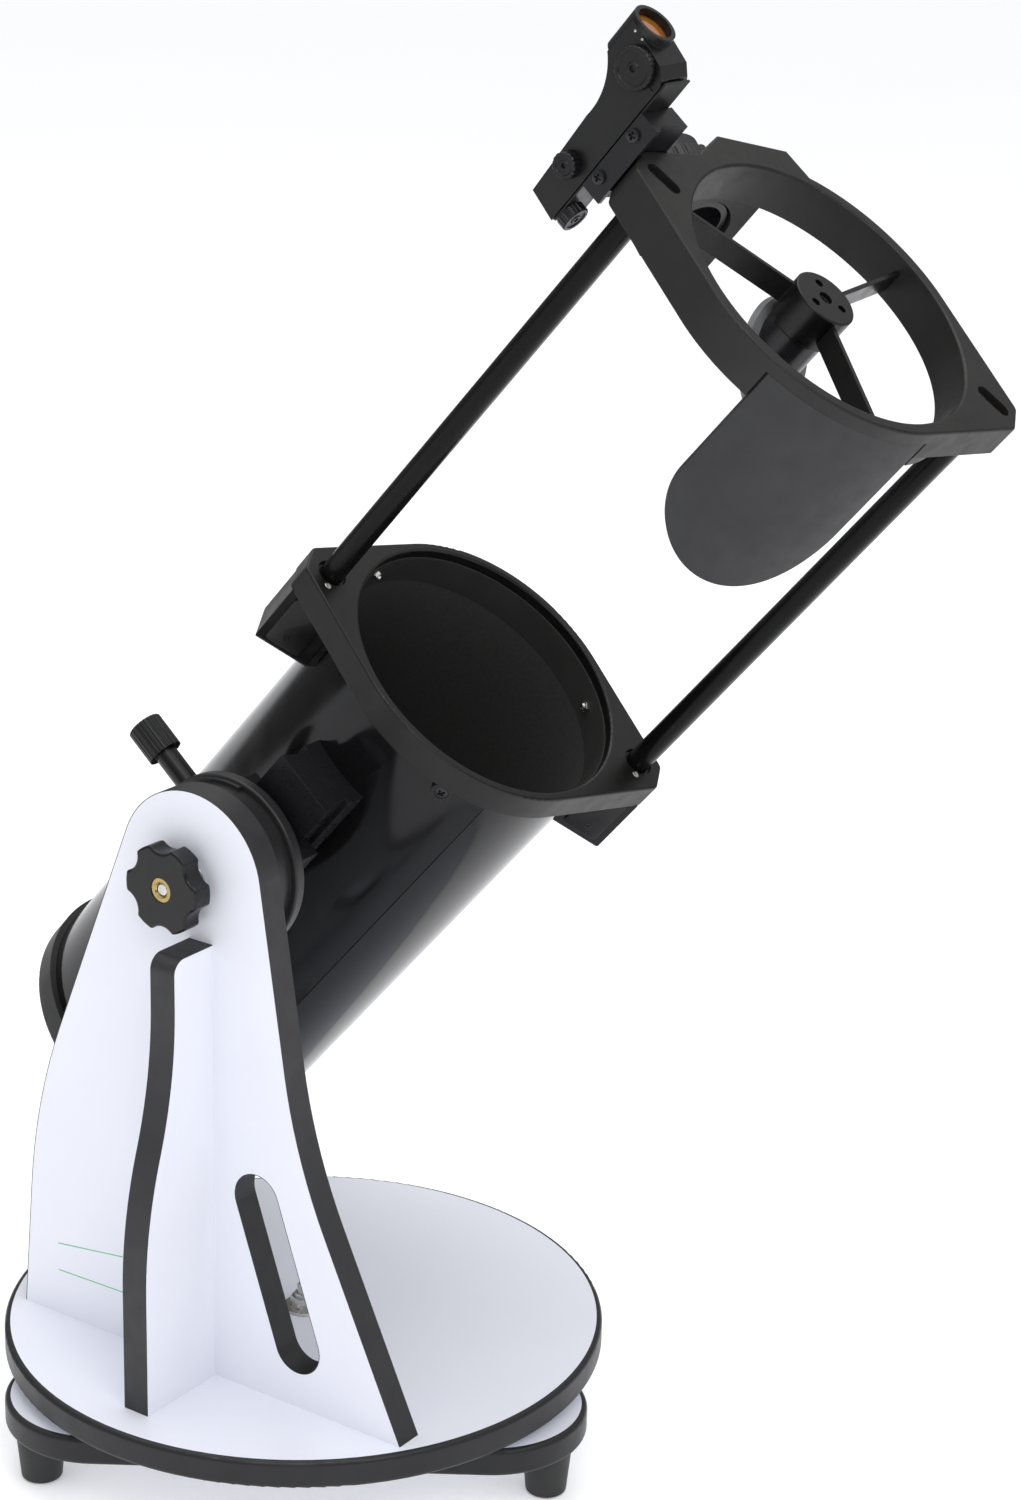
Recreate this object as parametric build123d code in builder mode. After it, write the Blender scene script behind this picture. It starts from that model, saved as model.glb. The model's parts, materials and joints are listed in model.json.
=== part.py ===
"""Tabletop dobsonian telescope: a two-rod collapsible tube on a one-arm rocker base.

Frame: millimetres, +Z up, floor at Z = 0, the azimuth pivot on the Z axis.
The tube points towards -Y, and the arm that carries it stands on the -X side.
Along the tube, lengths called "s" are measured from the altitude axis towards the sky.
"""

import os
from math import cos, radians, sin, sqrt

from build123d import *

# ---------------------------------------------------------------- driving sizes
ALTITUDE = 49.2            # angle of the tube above the horizon
TUBE_X = 73.6              # tube axis, sideways from the azimuth pivot
ALT_Y = 11.0               # altitude axis
ALT_Z = 391.0

BOARD = 18.0               # thickness of every board
BAND = 0.5                 # thickness of the edge banding
FOOT_H = 30.5
FOOT_R = 180.0             # radius of the circle through the three feet
FOOT_ANGLES = (34.2, 154.2, 274.2)
LOBE_R = 56.5
LOBE_AT = 139.0
GAP = 6.1                  # height of the glides between the two boards
TABLE_R = 186.0
EDGING = 3.5               # how far the bullnose edging stands out

PANEL_OUT = -100.8         # outer face of the arm
PANEL_IN = PANEL_OUT + BOARD
BRACE_Y = -10.6            # front face of the brace
DISC_R = 55.0              # altitude bearing
DISC_FACE = -56.0          # face of the bearing that carries the saddle
KNOB_FACE = -121.6

TUBE_R = 91.0
TUBE_WALL = 1.2
TUBE_REAR = -246.0
TUBE_FRONT = 132.8
COLLAR_R = 96.5
COLLAR_BACK = 121.0
COLLAR_FRONT = 139.3
HOUSING_BACK = 75.5
OPENING_R = 90.6

EAR_ANGLE = -57.0          # the second ear is opposite
EAR_REACH = 121.8
EAR_HALF = 7.5
EAR_ROUND = 6.0
ROD_AT = 111.4             # rods, from the tube axis
ROD_ANGLE = -56.0
ROD_R = 7.4
ROD_LOW = 77.0
ROD_TOP = 470.0

RING_BACK = 451.5
RING_FRONT = 478.3
RING_IN = 91.7
RING_OUT = 99.5
EAR_DEPTH = 20.5           # the ear on the arm side is as deep as the ring
BAFFLE_FROM = -162.4
BAFFLE_TO = -97.0
BAFFLE_END = 341.0

OPTIC_S = 423.0            # where the light path turns towards the eyepiece
FOCUS_ANGLE = 71.0
HUB_R = 19.2
VANE_START = 3.0           # direction of the first of three vanes

FINDER_X = -55.0           # middle of the finder, from the tube axis
FINDER_W = 26.0

ANGLE = radians(ALTITUDE)
AXIS = Vector(0, -cos(ANGLE), sin(ANGLE))
UP = Vector(0, sin(ANGLE), cos(ANGLE))
SIDE = Vector(1, 0, 0)
CENTRE = Vector(TUBE_X, ALT_Y, ALT_Z)
GROUND_TOP = FOOT_H + BOARD
TABLE_LOW = GROUND_TOP + GAP
TABLE_TOP = TABLE_LOW + BOARD
EDGE_SHIFT = 0.4           # rounding left square at the edging's outer corners


def at(side, up, s):
    """Point given by its offsets from the altitude axis on the tube's centre line."""
    return CENTRE + SIDE * side + UP * up + AXIS * s


def across(s):
    """Plane across the tube, with x to the side and y upwards."""
    return Plane(origin=at(0, 0, s), x_dir=SIDE, z_dir=AXIS)


def beside(side):
    """Plane along the tube with x towards the sky, y upwards, facing the arm."""
    return Plane(origin=at(side, 0, 0), x_dir=AXIS, z_dir=-SIDE)


def outward(angle, radius, s):
    """Plane that faces away from the tube axis, with x towards the sky."""
    ray = SIDE * cos(radians(angle)) + UP * sin(radians(angle))
    return Plane(origin=at(0, 0, s) + ray * radius, x_dir=AXIS, z_dir=ray)


def polar(radius, angle):
    return (radius * cos(radians(angle)), radius * sin(radians(angle)))


def ear_corners():
    """Centres of the four rounded corners of the two ears, across the tube."""
    corners = []
    for angle in (EAR_ANGLE, EAR_ANGLE + 180):
        for half in (-EAR_HALF, EAR_HALF):
            ray = (cos(radians(angle)), sin(radians(angle)))
            corners.append((EAR_REACH * ray[0] - half * ray[1], EAR_REACH * ray[1] + half * ray[0]))
    return corners


def washer_sketch(outer, inner):
    Circle(outer)
    Circle(inner, mode=Mode.SUBTRACT)


def knurled_sketch(radius, notches, depth):
    """Round grip with shallow notches round its edge."""
    Circle(radius)
    with PolarLocations(radius + depth / 2, notches):
        Circle(depth, mode=Mode.SUBTRACT)


def save(piece, name):
    piece.part.label = name
    export_step(piece.part, f"parts/{name}.step")


os.makedirs("parts", exist_ok=True)

RODS = [polar(ROD_AT, ROD_ANGLE), polar(ROD_AT, ROD_ANGLE + 180)]
FEET = [polar(FOOT_R, angle) for angle in FOOT_ANGLES]
GLIDES = [polar(120, angle) for angle in FOOT_ANGLES]
PIVOT_R = 5.0
LOW = (Align.CENTER, Align.CENTER, Align.MIN)
FOOT_SCREW_R = 2.1
FOOT_BORE_R = 5.0
FOOT_BORE_TOP = 18.0
FOOT_HEAD_LOW = 14.0
GLIDE_R = 12.0
POCKET_R = 12.0            # pocket under the ground board for the pivot bolt's head
POCKET_DEPTH = 7.0
BOLT_HEAD_LOW = FOOT_H + 0.4
BOLT_HEAD_TOP = FOOT_H + 6.6
BOLT_TOP = TABLE_TOP + 17
NUT_FLANGE_T = 1.8

# ---------------------------------------------------------------- ground board
with BuildSketch(Plane.XY) as lobes:
    with Locations(*[polar(LOBE_AT, angle) for angle in FOOT_ANGLES]):
        Circle(LOBE_R)
    make_hull()
LOBES = lobes.sketch

with BuildPart() as ground_board:
    with BuildSketch(Plane.XY.offset(FOOT_H)):
        add(LOBES)
    extrude(amount=BOARD)
    with Locations((0, 0, GROUND_TOP)):
        Hole(PIVOT_R + 0.1)
    with Locations((0, 0, FOOT_H)):
        Cylinder(POCKET_R, POCKET_DEPTH, align=LOW, mode=Mode.SUBTRACT)
    with Locations(*[(x, y, GROUND_TOP) for x, y in FEET]):
        Hole(FOOT_SCREW_R + 0.1)
save(ground_board, "ground_board")

with BuildPart() as ground_edging:
    with BuildSketch(Plane.XY.offset(FOOT_H)):
        offset(LOBES, amount=EDGING)
        add(LOBES, mode=Mode.SUBTRACT)
    extrude(amount=BOARD)
    outer_wires = [face.outer_wire() for face in ground_edging.faces().filter_by(Axis.Z)]
    fillet([edge for wire in outer_wires for edge in wire.edges()], radius=EDGING - EDGE_SHIFT)
save(ground_edging, "ground_board_edging")

with BuildPart() as feet:
    for x, y in FEET:
        with BuildSketch(Plane(origin=(x, y, 0))):
            Circle(12.5)
        with BuildSketch(Plane(origin=(x, y, FOOT_H))):
            Circle(15.5)
        loft()
    rims = feet.edges().filter_by(GeomType.CIRCLE).group_by(Axis.Z)[0]
    fillet(rims, radius=2)
    with Locations(*[(x, y, 0) for x, y in FEET]):
        Cylinder(FOOT_BORE_R, FOOT_BORE_TOP, align=LOW, mode=Mode.SUBTRACT)
        Cylinder(FOOT_SCREW_R + 0.1, FOOT_H, align=LOW, mode=Mode.SUBTRACT)
save(feet, "feet")

with BuildPart() as foot_screws:
    with Locations(*[(x, y, FOOT_HEAD_LOW) for x, y in FEET]):
        Cylinder(2 * FOOT_SCREW_R, FOOT_BORE_TOP - FOOT_HEAD_LOW, align=LOW)
    with Locations(*[(x, y, FOOT_BORE_TOP) for x, y in FEET]):
        Cylinder(FOOT_SCREW_R, 26, align=LOW)
save(foot_screws, "foot_screws")

with BuildPart() as glides:
    with Locations(*[(x, y, GROUND_TOP) for x, y in GLIDES]):
        Cylinder(GLIDE_R, GAP - 0.05, align=LOW)
    chamfer(glides.edges().filter_by(GeomType.CIRCLE).group_by(Axis.Z)[-1], length=0.8)
save(glides, "azimuth_glides")

with BuildPart() as pivot_bolt:
    with BuildSketch(Plane.XY.offset(BOLT_HEAD_LOW)):
        RegularPolygon(9, 6)
    extrude(amount=BOLT_HEAD_TOP - BOLT_HEAD_LOW)
    with BuildSketch(Plane.XY.offset(BOLT_HEAD_TOP)):
        Circle(PIVOT_R)
    extrude(amount=BOLT_TOP - BOLT_HEAD_TOP)
    chamfer(pivot_bolt.edges().filter_by(GeomType.CIRCLE).group_by(Axis.Z)[-1], length=1)
save(pivot_bolt, "pivot_bolt")

with BuildPart() as pivot_nut:
    with BuildSketch(Plane.XY.offset(TABLE_TOP + 0.05)):
        washer_sketch(14, PIVOT_R + 0.05)
    extrude(amount=NUT_FLANGE_T)
    with BuildSketch(Plane.XY.offset(TABLE_TOP + NUT_FLANGE_T)):
        RegularPolygon(9.2, 6)
        Circle(PIVOT_R + 0.05, mode=Mode.SUBTRACT)
    extrude(amount=9)
save(pivot_nut, "pivot_nut")

# ---------------------------------------------------------------- turntable
SCREW_ROWS = [(PANEL_OUT + BOARD / 2, y) for y in (-125, -50, 60, 125)]
SCREW_ROWS += [(x, BRACE_Y + BOARD / 2) for x in (-118, -150)]
BOARD_SCREW_R = 2.5
BOARD_HEAD_R = 4.8
SINK = 3.0                 # how deep the screw heads are sunk
SCREW_REACH = 45.0
PILOT_DEPTH = 35.0

with BuildPart() as turntable_board:
    with BuildSketch(Plane.XY.offset(TABLE_LOW)):
        Circle(TABLE_R)
        Circle(PIVOT_R + 0.1, mode=Mode.SUBTRACT)
    extrude(amount=BOARD)
    with Locations(*[(x, y, TABLE_TOP) for x, y in SCREW_ROWS]):
        Hole(BOARD_SCREW_R + 0.1)
    with Locations(*[(x, y, TABLE_LOW) for x, y in SCREW_ROWS]):
        Cylinder(BOARD_HEAD_R + 0.2, SINK, align=LOW, mode=Mode.SUBTRACT)
save(turntable_board, "turntable_board")

with BuildPart() as turntable_edging:
    with BuildSketch(Plane.XZ) as bullnose:
        with Locations((TABLE_R + EDGING / 2, TABLE_LOW + BOARD / 2)):
            Rectangle(EDGING, BOARD)
        fillet(bullnose.vertices().group_by(Axis.X)[-1], radius=EDGING - EDGE_SHIFT)
    revolve(axis=Axis.Z)
save(turntable_edging, "turntable_edging")

with BuildPart() as board_screws:
    with Locations(*[(x, y, TABLE_LOW + 0.2) for x, y in SCREW_ROWS]):
        Cylinder(BOARD_HEAD_R, SINK - 0.2, align=LOW)
    with Locations(*[(x, y, TABLE_LOW + SINK) for x, y in SCREW_ROWS]):
        Cylinder(BOARD_SCREW_R, SCREW_REACH, align=LOW)
save(board_screws, "board_screws")

# ---------------------------------------------------------------- arm
UNDERCUT = 10.0            # outlines run this far below the turntable and are trimmed there
OUTLINE_LOW = TABLE_TOP - UNDERCUT
PANEL_CORNERS = [(-156.4, OUTLINE_LOW), (-72.8, 237.4), (-16, 592), (134, 216.6), (147.6, OUTLINE_LOW)]
with BuildSketch() as arm_outline:
    with BuildLine():
        FilletPolyline(*PANEL_CORNERS, radius=[350, 53, 400])
        Line(PANEL_CORNERS[-1], PANEL_CORNERS[0])
    make_face()
ARM = arm_outline.sketch

SLOT_MIDDLE = (-58.8, 156.3)
SLOT_SPAN = 93.5           # between the centres of its round ends
SLOT_TILT = 70.5
SLOT_R = 16.9


def above_table():
    """Keep the part of the sketch that stands above the turntable."""
    with Locations((0, TABLE_TOP)):
        Rectangle(800, 800, align=(Align.CENTER, Align.MIN), mode=Mode.INTERSECT)


with BuildPart() as side_panel:
    with BuildSketch(Plane.YZ.offset(PANEL_OUT)):
        offset(ARM, amount=-BAND)
        with Locations(SLOT_MIDDLE):
            SlotCenterToCenter(SLOT_SPAN, 2 * SLOT_R, rotation=SLOT_TILT, mode=Mode.SUBTRACT)
        above_table()
    extrude(amount=BOARD)
    with Locations(*[(x, y, TABLE_TOP) for x, y in SCREW_ROWS[:4]]):
        Cylinder(BOARD_SCREW_R + 0.1, PILOT_DEPTH, align=LOW, mode=Mode.SUBTRACT)
    with Locations(Plane(origin=(PANEL_OUT, ALT_Y, ALT_Z), z_dir=(-1, 0, 0))):
        Hole(8)
save(side_panel, "side_panel")

with BuildPart() as panel_banding:
    with BuildSketch(Plane.YZ.offset(PANEL_OUT)):
        add(ARM)
        offset(ARM, amount=-BAND, mode=Mode.SUBTRACT)
        with Locations(SLOT_MIDDLE):
            SlotCenterToCenter(SLOT_SPAN, 2 * SLOT_R, rotation=SLOT_TILT)
            SlotCenterToCenter(SLOT_SPAN, 2 * (SLOT_R - BAND), rotation=SLOT_TILT, mode=Mode.SUBTRACT)
        above_table()
    extrude(amount=BOARD)
save(panel_banding, "side_panel_banding")

BRACE_CORNERS = [
    (PANEL_OUT + UNDERCUT, 356),
    (-135.5, 356),
    (-135.5, 282),
    (-164, 193),
    (-164, OUTLINE_LOW),
]
with BuildSketch() as brace_outline:
    with BuildLine():
        FilletPolyline(*BRACE_CORNERS, radius=[9, 280, 280])
        Polyline(BRACE_CORNERS[-1], (PANEL_OUT + UNDERCUT, OUTLINE_LOW), BRACE_CORNERS[0])
    make_face()
BRACE = brace_outline.sketch


def beside_panel():
    """Keep the part of the sketch that stands outside the side panel."""
    with Locations((PANEL_OUT, TABLE_TOP)):
        Rectangle(800, 800, align=(Align.MAX, Align.MIN), mode=Mode.INTERSECT)


with BuildPart() as brace_panel:
    with BuildSketch(Plane.XZ.offset(-BRACE_Y)):
        offset(BRACE, amount=-BAND)
        beside_panel()
    extrude(amount=-BOARD)
    with Locations(*[(x, y, TABLE_TOP) for x, y in SCREW_ROWS[4:]]):
        Cylinder(BOARD_SCREW_R + 0.1, PILOT_DEPTH, align=LOW, mode=Mode.SUBTRACT)
save(brace_panel, "brace_panel")

with BuildPart() as brace_banding:
    with BuildSketch(Plane.XZ.offset(-BRACE_Y)):
        add(BRACE)
        offset(BRACE, amount=-BAND, mode=Mode.SUBTRACT)
        beside_panel()
    extrude(amount=-BOARD)
save(brace_banding, "brace_banding")

# ---------------------------------------------------------------- altitude bearing
PLATE_T = 5.5
PAD_T = 0.5
LIP_T = 8.0
LIP_W = 8.0
BOLT_R = 4.0
BUSH_HOLE_R = 8.0
PLATE_R = 50.0
PAD_R = 40.0
PAD_HOLE_R = 22.0
PAD_SEAT = 1.0
STOP_T = 3.0
HEX_R = 8.0
HEX_T = 6.0
WASHER_R = 17.0
WASHER_T = 1.65


def pivot_plane(x):
    """Plane across the altitude axis, facing the tube."""
    return Plane(origin=(x, ALT_Y, ALT_Z), x_dir=(0, 1, 0), z_dir=(1, 0, 0))


with BuildPart() as arm_bush:
    with BuildSketch(pivot_plane(PANEL_OUT)):
        washer_sketch(BUSH_HOLE_R - 0.05, BOLT_R + 0.08)
    extrude(amount=BOARD)
save(arm_bush, "arm_bush")

with BuildPart() as bearing_plate:
    with BuildSketch(pivot_plane(PANEL_IN)):
        washer_sketch(PLATE_R, BOLT_R + 1)
    extrude(amount=PLATE_T)
    chamfer(bearing_plate.edges().filter_by(GeomType.CIRCLE).group_by(Axis.X)[-1], length=0.8)
    with BuildSketch(pivot_plane(PANEL_IN + PLATE_T)):
        washer_sketch(PAD_R, PAD_HOLE_R)
    extrude(amount=-PAD_SEAT, mode=Mode.SUBTRACT)
save(bearing_plate, "bearing_plate")

with BuildPart() as friction_pad:
    with BuildSketch(pivot_plane(PANEL_IN + PLATE_T - PAD_SEAT)):
        washer_sketch(PAD_R - 0.2, PAD_HOLE_R + 0.2)
    extrude(amount=PAD_SEAT + PAD_T)
save(friction_pad, "friction_pad")

DISC_BACK = PANEL_IN + PLATE_T + PAD_T + 0.05
with BuildPart() as altitude_disc:
    with BuildSketch(pivot_plane(DISC_BACK)):
        washer_sketch(DISC_R - 4.5, BOLT_R + 0.02)
    extrude(amount=DISC_FACE - DISC_BACK)
    with BuildSketch(pivot_plane(DISC_FACE - LIP_T)):
        washer_sketch(DISC_R, DISC_R - LIP_W)
    extrude(amount=LIP_T)
    fillet(altitude_disc.edges().filter_by(GeomType.CIRCLE).sort_by(SortBy.RADIUS)[-2:], radius=1.6)
    with BuildSketch(pivot_plane(DISC_FACE - LIP_T - STOP_T)):
        washer_sketch(DISC_R - 2, DISC_R - LIP_W)
        with Locations(Rotation(0, 0, 15)):
            Rectangle(130, 130, align=(Align.MIN, Align.MIN), mode=Mode.INTERSECT)
    extrude(amount=STOP_T)
    with BuildSketch(pivot_plane(DISC_FACE)):
        RegularPolygon(HEX_R, 6)
    extrude(amount=-HEX_T, mode=Mode.SUBTRACT)
save(altitude_disc, "altitude_disc")

with BuildPart() as altitude_bolt:
    with BuildSketch(pivot_plane(DISC_FACE - 0.3)):
        RegularPolygon(HEX_R - 0.2, 6)
    extrude(amount=0.4 - HEX_T)
    with BuildSketch(pivot_plane(DISC_FACE + 0.1 - HEX_T)):
        Circle(BOLT_R)
    extrude(amount=KNOB_FACE + 1.4 - DISC_FACE + HEX_T)
    chamfer(altitude_bolt.edges().filter_by(GeomType.CIRCLE).group_by(Axis.X)[0], length=0.8)
save(altitude_bolt, "altitude_bolt")

with BuildPart() as knob_washer:
    with BuildSketch(pivot_plane(PANEL_OUT - 0.05 - WASHER_T)):
        washer_sketch(WASHER_R, BOLT_R + 0.3)
    extrude(amount=WASHER_T)
    rim = knob_washer.edges().filter_by(GeomType.CIRCLE).group_by(Axis.X)[0]
    chamfer(rim.sort_by(SortBy.RADIUS)[-1], length=0.5)
save(knob_washer, "knob_washer")

KNOB_R = 27.2
KNOB_T = 13.5
KNOB_BOSS_R = 14.0
KNOB_BACK = PANEL_OUT - WASHER_T - 0.15
INSERT_R = 7.5
with BuildPart() as altitude_knob:
    with BuildSketch(pivot_plane(KNOB_FACE)) as star:
        Circle(KNOB_R)
        with PolarLocations(KNOB_R + 6.6, 6, start_angle=30):
            Circle(11, mode=Mode.SUBTRACT)
        fillet(star.vertices(), radius=2.2)
    extrude(amount=KNOB_T)
    fillet(altitude_knob.faces().filter_by(Axis.X).edges(), radius=1.8)
    with BuildSketch(pivot_plane(KNOB_FACE + KNOB_T)):
        Circle(KNOB_BOSS_R)
    extrude(amount=KNOB_BACK - KNOB_FACE - KNOB_T)
    with BuildSketch(pivot_plane(KNOB_FACE)):
        Circle(INSERT_R)
    extrude(amount=KNOB_BACK - KNOB_FACE, mode=Mode.SUBTRACT)
save(altitude_knob, "altitude_knob")

with BuildPart() as knob_insert:
    with BuildSketch(pivot_plane(KNOB_FACE + 0.6)):
        washer_sketch(INSERT_R - 0.02, BOLT_R + 0.05)
    extrude(amount=KNOB_BACK - KNOB_FACE - 0.8)
    mouth = knob_insert.edges().filter_by(GeomType.CIRCLE).group_by(Axis.X)[0]
    chamfer(mouth.sort_by(SortBy.RADIUS)[0], length=1)
save(knob_insert, "knob_insert")

# ---------------------------------------------------------------- saddle and dovetail bar
BAR_WIDE = 22.0
BAR_NARROW = 18.3
BAR_OUT = -50.0            # face of the bar inside the saddle
BAR_NECK = -37.0
BAR_HALF = 75.0
SADDLE_TUBE = -37.5        # face of the saddle nearest the tube
SADDLE_HALF = 40.0
SADDLE_W = 62.0
CLAMP_S = 1.5
CLAMP_X = -48.6
CLAMP_LOW = 78.3           # underside of the clamp's grip
CLAMP_TOP = 101.0
CLAMP_STEP = 34.0          # where the screw thickens, above the saddle
CLAMP_R = 4.0
CLAMP_SHAFT_R = 7.0
CLAMP_GRIP_R = 11.0


def bar_section(extra):
    """Half-dovetail outline across the tube: wide in the saddle, narrow at its neck."""
    out = BAR_OUT - TUBE_X - extra
    neck = BAR_NECK - TUBE_X
    wide = BAR_WIDE + extra
    narrow = BAR_NARROW + extra
    Polygon((out, -wide), (neck, -narrow), (neck, narrow), (out, wide), align=None)


with BuildPart() as dovetail_bar:
    with BuildSketch(across(-BAR_HALF)):
        bar_section(0)
        with Locations((BAR_NECK - TUBE_X, 0)):
            Rectangle(12.5, 2 * BAR_NARROW, align=(Align.MIN, Align.CENTER))
        with Locations((BAR_NECK - TUBE_X + 8, 0)):
            Rectangle(14, 2 * BAR_WIDE, align=(Align.MIN, Align.CENTER))
    extrude(amount=2 * BAR_HALF)
    with BuildSketch(across(-BAR_HALF)):
        Circle(TUBE_R + 0.03)
    extrude(amount=2 * BAR_HALF, mode=Mode.SUBTRACT)
save(dovetail_bar, "dovetail_bar")

with BuildPart() as saddle:
    with BuildSketch(across(-SADDLE_HALF)):
        with Locations((DISC_FACE - TUBE_X, 0)):
            Rectangle(SADDLE_TUBE - DISC_FACE, SADDLE_W, align=(Align.MIN, Align.CENTER))
    extrude(amount=2 * SADDLE_HALF)
    with BuildSketch(across(-SADDLE_HALF)):
        bar_section(0.25)
    extrude(amount=2 * SADDLE_HALF, mode=Mode.SUBTRACT)
    with Locations(Plane(origin=at(CLAMP_X - TUBE_X, 15, CLAMP_S), x_dir=AXIS, z_dir=UP)):
        Cylinder(CLAMP_R + 0.1, 30, align=LOW, mode=Mode.SUBTRACT)
save(saddle, "saddle")

with BuildPart() as clamp_screw:
    clamp_plane = Plane(origin=at(CLAMP_X - TUBE_X, 0, CLAMP_S), x_dir=AXIS, z_dir=UP)
    with BuildSketch(clamp_plane.offset(BAR_WIDE + 0.6)):
        Circle(CLAMP_R)
    extrude(amount=CLAMP_STEP - BAR_WIDE)
    with BuildSketch(clamp_plane.offset(CLAMP_STEP)):
        Circle(CLAMP_SHAFT_R)
    extrude(amount=CLAMP_LOW - CLAMP_STEP)
    with BuildSketch(clamp_plane.offset(CLAMP_LOW)):
        knurled_sketch(CLAMP_GRIP_R, 24, 1)
    extrude(amount=CLAMP_TOP - CLAMP_LOW)
    chamfer(clamp_screw.faces().sort_by(lambda face: face.center().dot(UP))[-1].edges(), length=1)
save(clamp_screw, "clamp_screw")

# ---------------------------------------------------------------- tube
SEAM_ANGLE = -128.0
with BuildPart() as tube:
    with BuildSketch(across(TUBE_REAR)):
        washer_sketch(TUBE_R, TUBE_R - TUBE_WALL)
    extrude(amount=TUBE_FRONT - TUBE_REAR)
    with BuildSketch(across(TUBE_REAR)):
        with Locations(polar(TUBE_R, SEAM_ANGLE)):
            Circle(0.5)
    extrude(amount=TUBE_FRONT - TUBE_REAR, mode=Mode.SUBTRACT)
save(tube, "tube")


def eared_outline(radius, gap=0.0):
    """Round band with two square ears that carry the rods."""
    Circle(radius + gap)
    with Locations(*ear_corners()):
        Circle(EAR_ROUND + gap)
    make_hull()


BAND_SIDE = EAR_ANGLE + 90 + 180      # the side of each ear that carries the small hardware
ACROSS_EARS = (cos(radians(BAND_SIDE)), sin(radians(BAND_SIDE)))
STOP_AT = 12.2
STOPS = [(x + STOP_AT * ACROSS_EARS[0], y + STOP_AT * ACROSS_EARS[1]) for x, y in RODS]
BUSH_R = 9.5
COLLAR_SCREWS = (-146.8, -26.8, 93.2)
COLLAR_SCREW_S = 117.4
BOSS_R = 6.5
COLLAR_STEP = TUBE_FRONT + 0.2        # inside shoulder that meets the tube's end
BUSH_DEPTH = 8.0
STOP_R = 2.3
HOUSING_IN = 84.0
HOUSING_OUT = 126.0
HOUSING_W = 26.0
SCREW_SEAT = COLLAR_R - 2.2
SCREW_HEAD_R = 4.1

with BuildPart() as collar:
    with BuildSketch(across(COLLAR_BACK)):
        eared_outline(COLLAR_R)
    extrude(amount=COLLAR_STEP - COLLAR_BACK)
    for angle in COLLAR_SCREWS:
        with BuildSketch(outward(angle, TUBE_R - 5, COLLAR_SCREW_S)):
            Circle(BOSS_R)
        extrude(amount=COLLAR_R - TUBE_R + 5)
    with BuildSketch(across(COLLAR_SCREW_S - 2 * BOSS_R)):
        Circle(TUBE_R + 0.05)
    extrude(amount=COLLAR_STEP - COLLAR_SCREW_S + 2 * BOSS_R, mode=Mode.SUBTRACT)
    with BuildSketch(across(COLLAR_STEP)):
        eared_outline(COLLAR_R)
        Circle(OPENING_R, mode=Mode.SUBTRACT)
    extrude(amount=COLLAR_FRONT - COLLAR_STEP)
    front = collar.faces().sort_by(lambda face: face.center().dot(AXIS))[-1]
    fillet(front.edges(), radius=1.4)
    for angle in (EAR_ANGLE, EAR_ANGLE + 180):
        with BuildSketch(across(HOUSING_BACK)):
            with Locations(Rotation(0, 0, angle)):
                with Locations((HOUSING_IN, 0)):
                    Rectangle(HOUSING_OUT - HOUSING_IN, HOUSING_W, align=(Align.MIN, Align.CENTER))
            Circle(TUBE_R + 0.05, mode=Mode.SUBTRACT)
        extrude(amount=COLLAR_BACK - HOUSING_BACK)
    ends = collar.faces().sort_by(lambda face: face.center().dot(AXIS))[:2]
    for end in ends:
        tips = end.edges().sort_by(lambda edge: (edge.center() - CENTRE).cross(AXIS).length)[-3:]
        fillet(tips, radius=3.5)
    with BuildSketch(across(HOUSING_BACK - 1)):
        with Locations(*RODS):
            Circle(ROD_R + 0.6)
    extrude(amount=COLLAR_FRONT - HOUSING_BACK + 2, mode=Mode.SUBTRACT)
    with BuildSketch(across(COLLAR_FRONT - BUSH_DEPTH)):
        with Locations(*RODS):
            Circle(BUSH_R)
        with Locations(*STOPS):
            Circle(STOP_R)
    extrude(amount=BUSH_DEPTH + 2, mode=Mode.SUBTRACT)
    for angle in COLLAR_SCREWS:
        with Locations(outward(angle, COLLAR_R + 8, COLLAR_SCREW_S)):
            CounterBoreHole(2, SCREW_HEAD_R + 0.1, 10.2, depth=19)
save(collar, "front_collar")

with BuildPart() as rod_bushes:
    with BuildSketch(across(COLLAR_FRONT - BUSH_DEPTH)):
        with Locations(*RODS):
            Circle(BUSH_R - 0.02)
            Circle(ROD_R + 0.08, mode=Mode.SUBTRACT)
    extrude(amount=BUSH_DEPTH - 2)
save(rod_bushes, "rod_bushes")

with BuildPart() as stop_screws:
    with BuildSketch(across(COLLAR_FRONT - BUSH_DEPTH)):
        with Locations(*STOPS):
            Circle(STOP_R - 0.02)
    extrude(amount=BUSH_DEPTH - 1.4)
save(stop_screws, "stop_screws")

with BuildPart() as collar_screws:
    for angle in COLLAR_SCREWS:
        with BuildSketch(outward(angle, SCREW_SEAT, COLLAR_SCREW_S)):
            Circle(SCREW_HEAD_R)
        extrude(amount=2)
        with BuildSketch(outward(angle, SCREW_SEAT, COLLAR_SCREW_S)):
            Circle(1.95)
        extrude(amount=-3)
save(collar_screws, "collar_screws")

with BuildPart() as housing_covers:
    for angle in (EAR_ANGLE, EAR_ANGLE + 180):
        flip = 1 if angle > 0 else -1
        with BuildSketch(across(HOUSING_BACK + 6)):
            with Locations(Rotation(0, 0, angle)):
                with Locations((109, flip * 13.85)):
                    Rectangle(24, 1.6)
        extrude(amount=COLLAR_BACK - HOUSING_BACK - 8)
save(housing_covers, "housing_covers")

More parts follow.
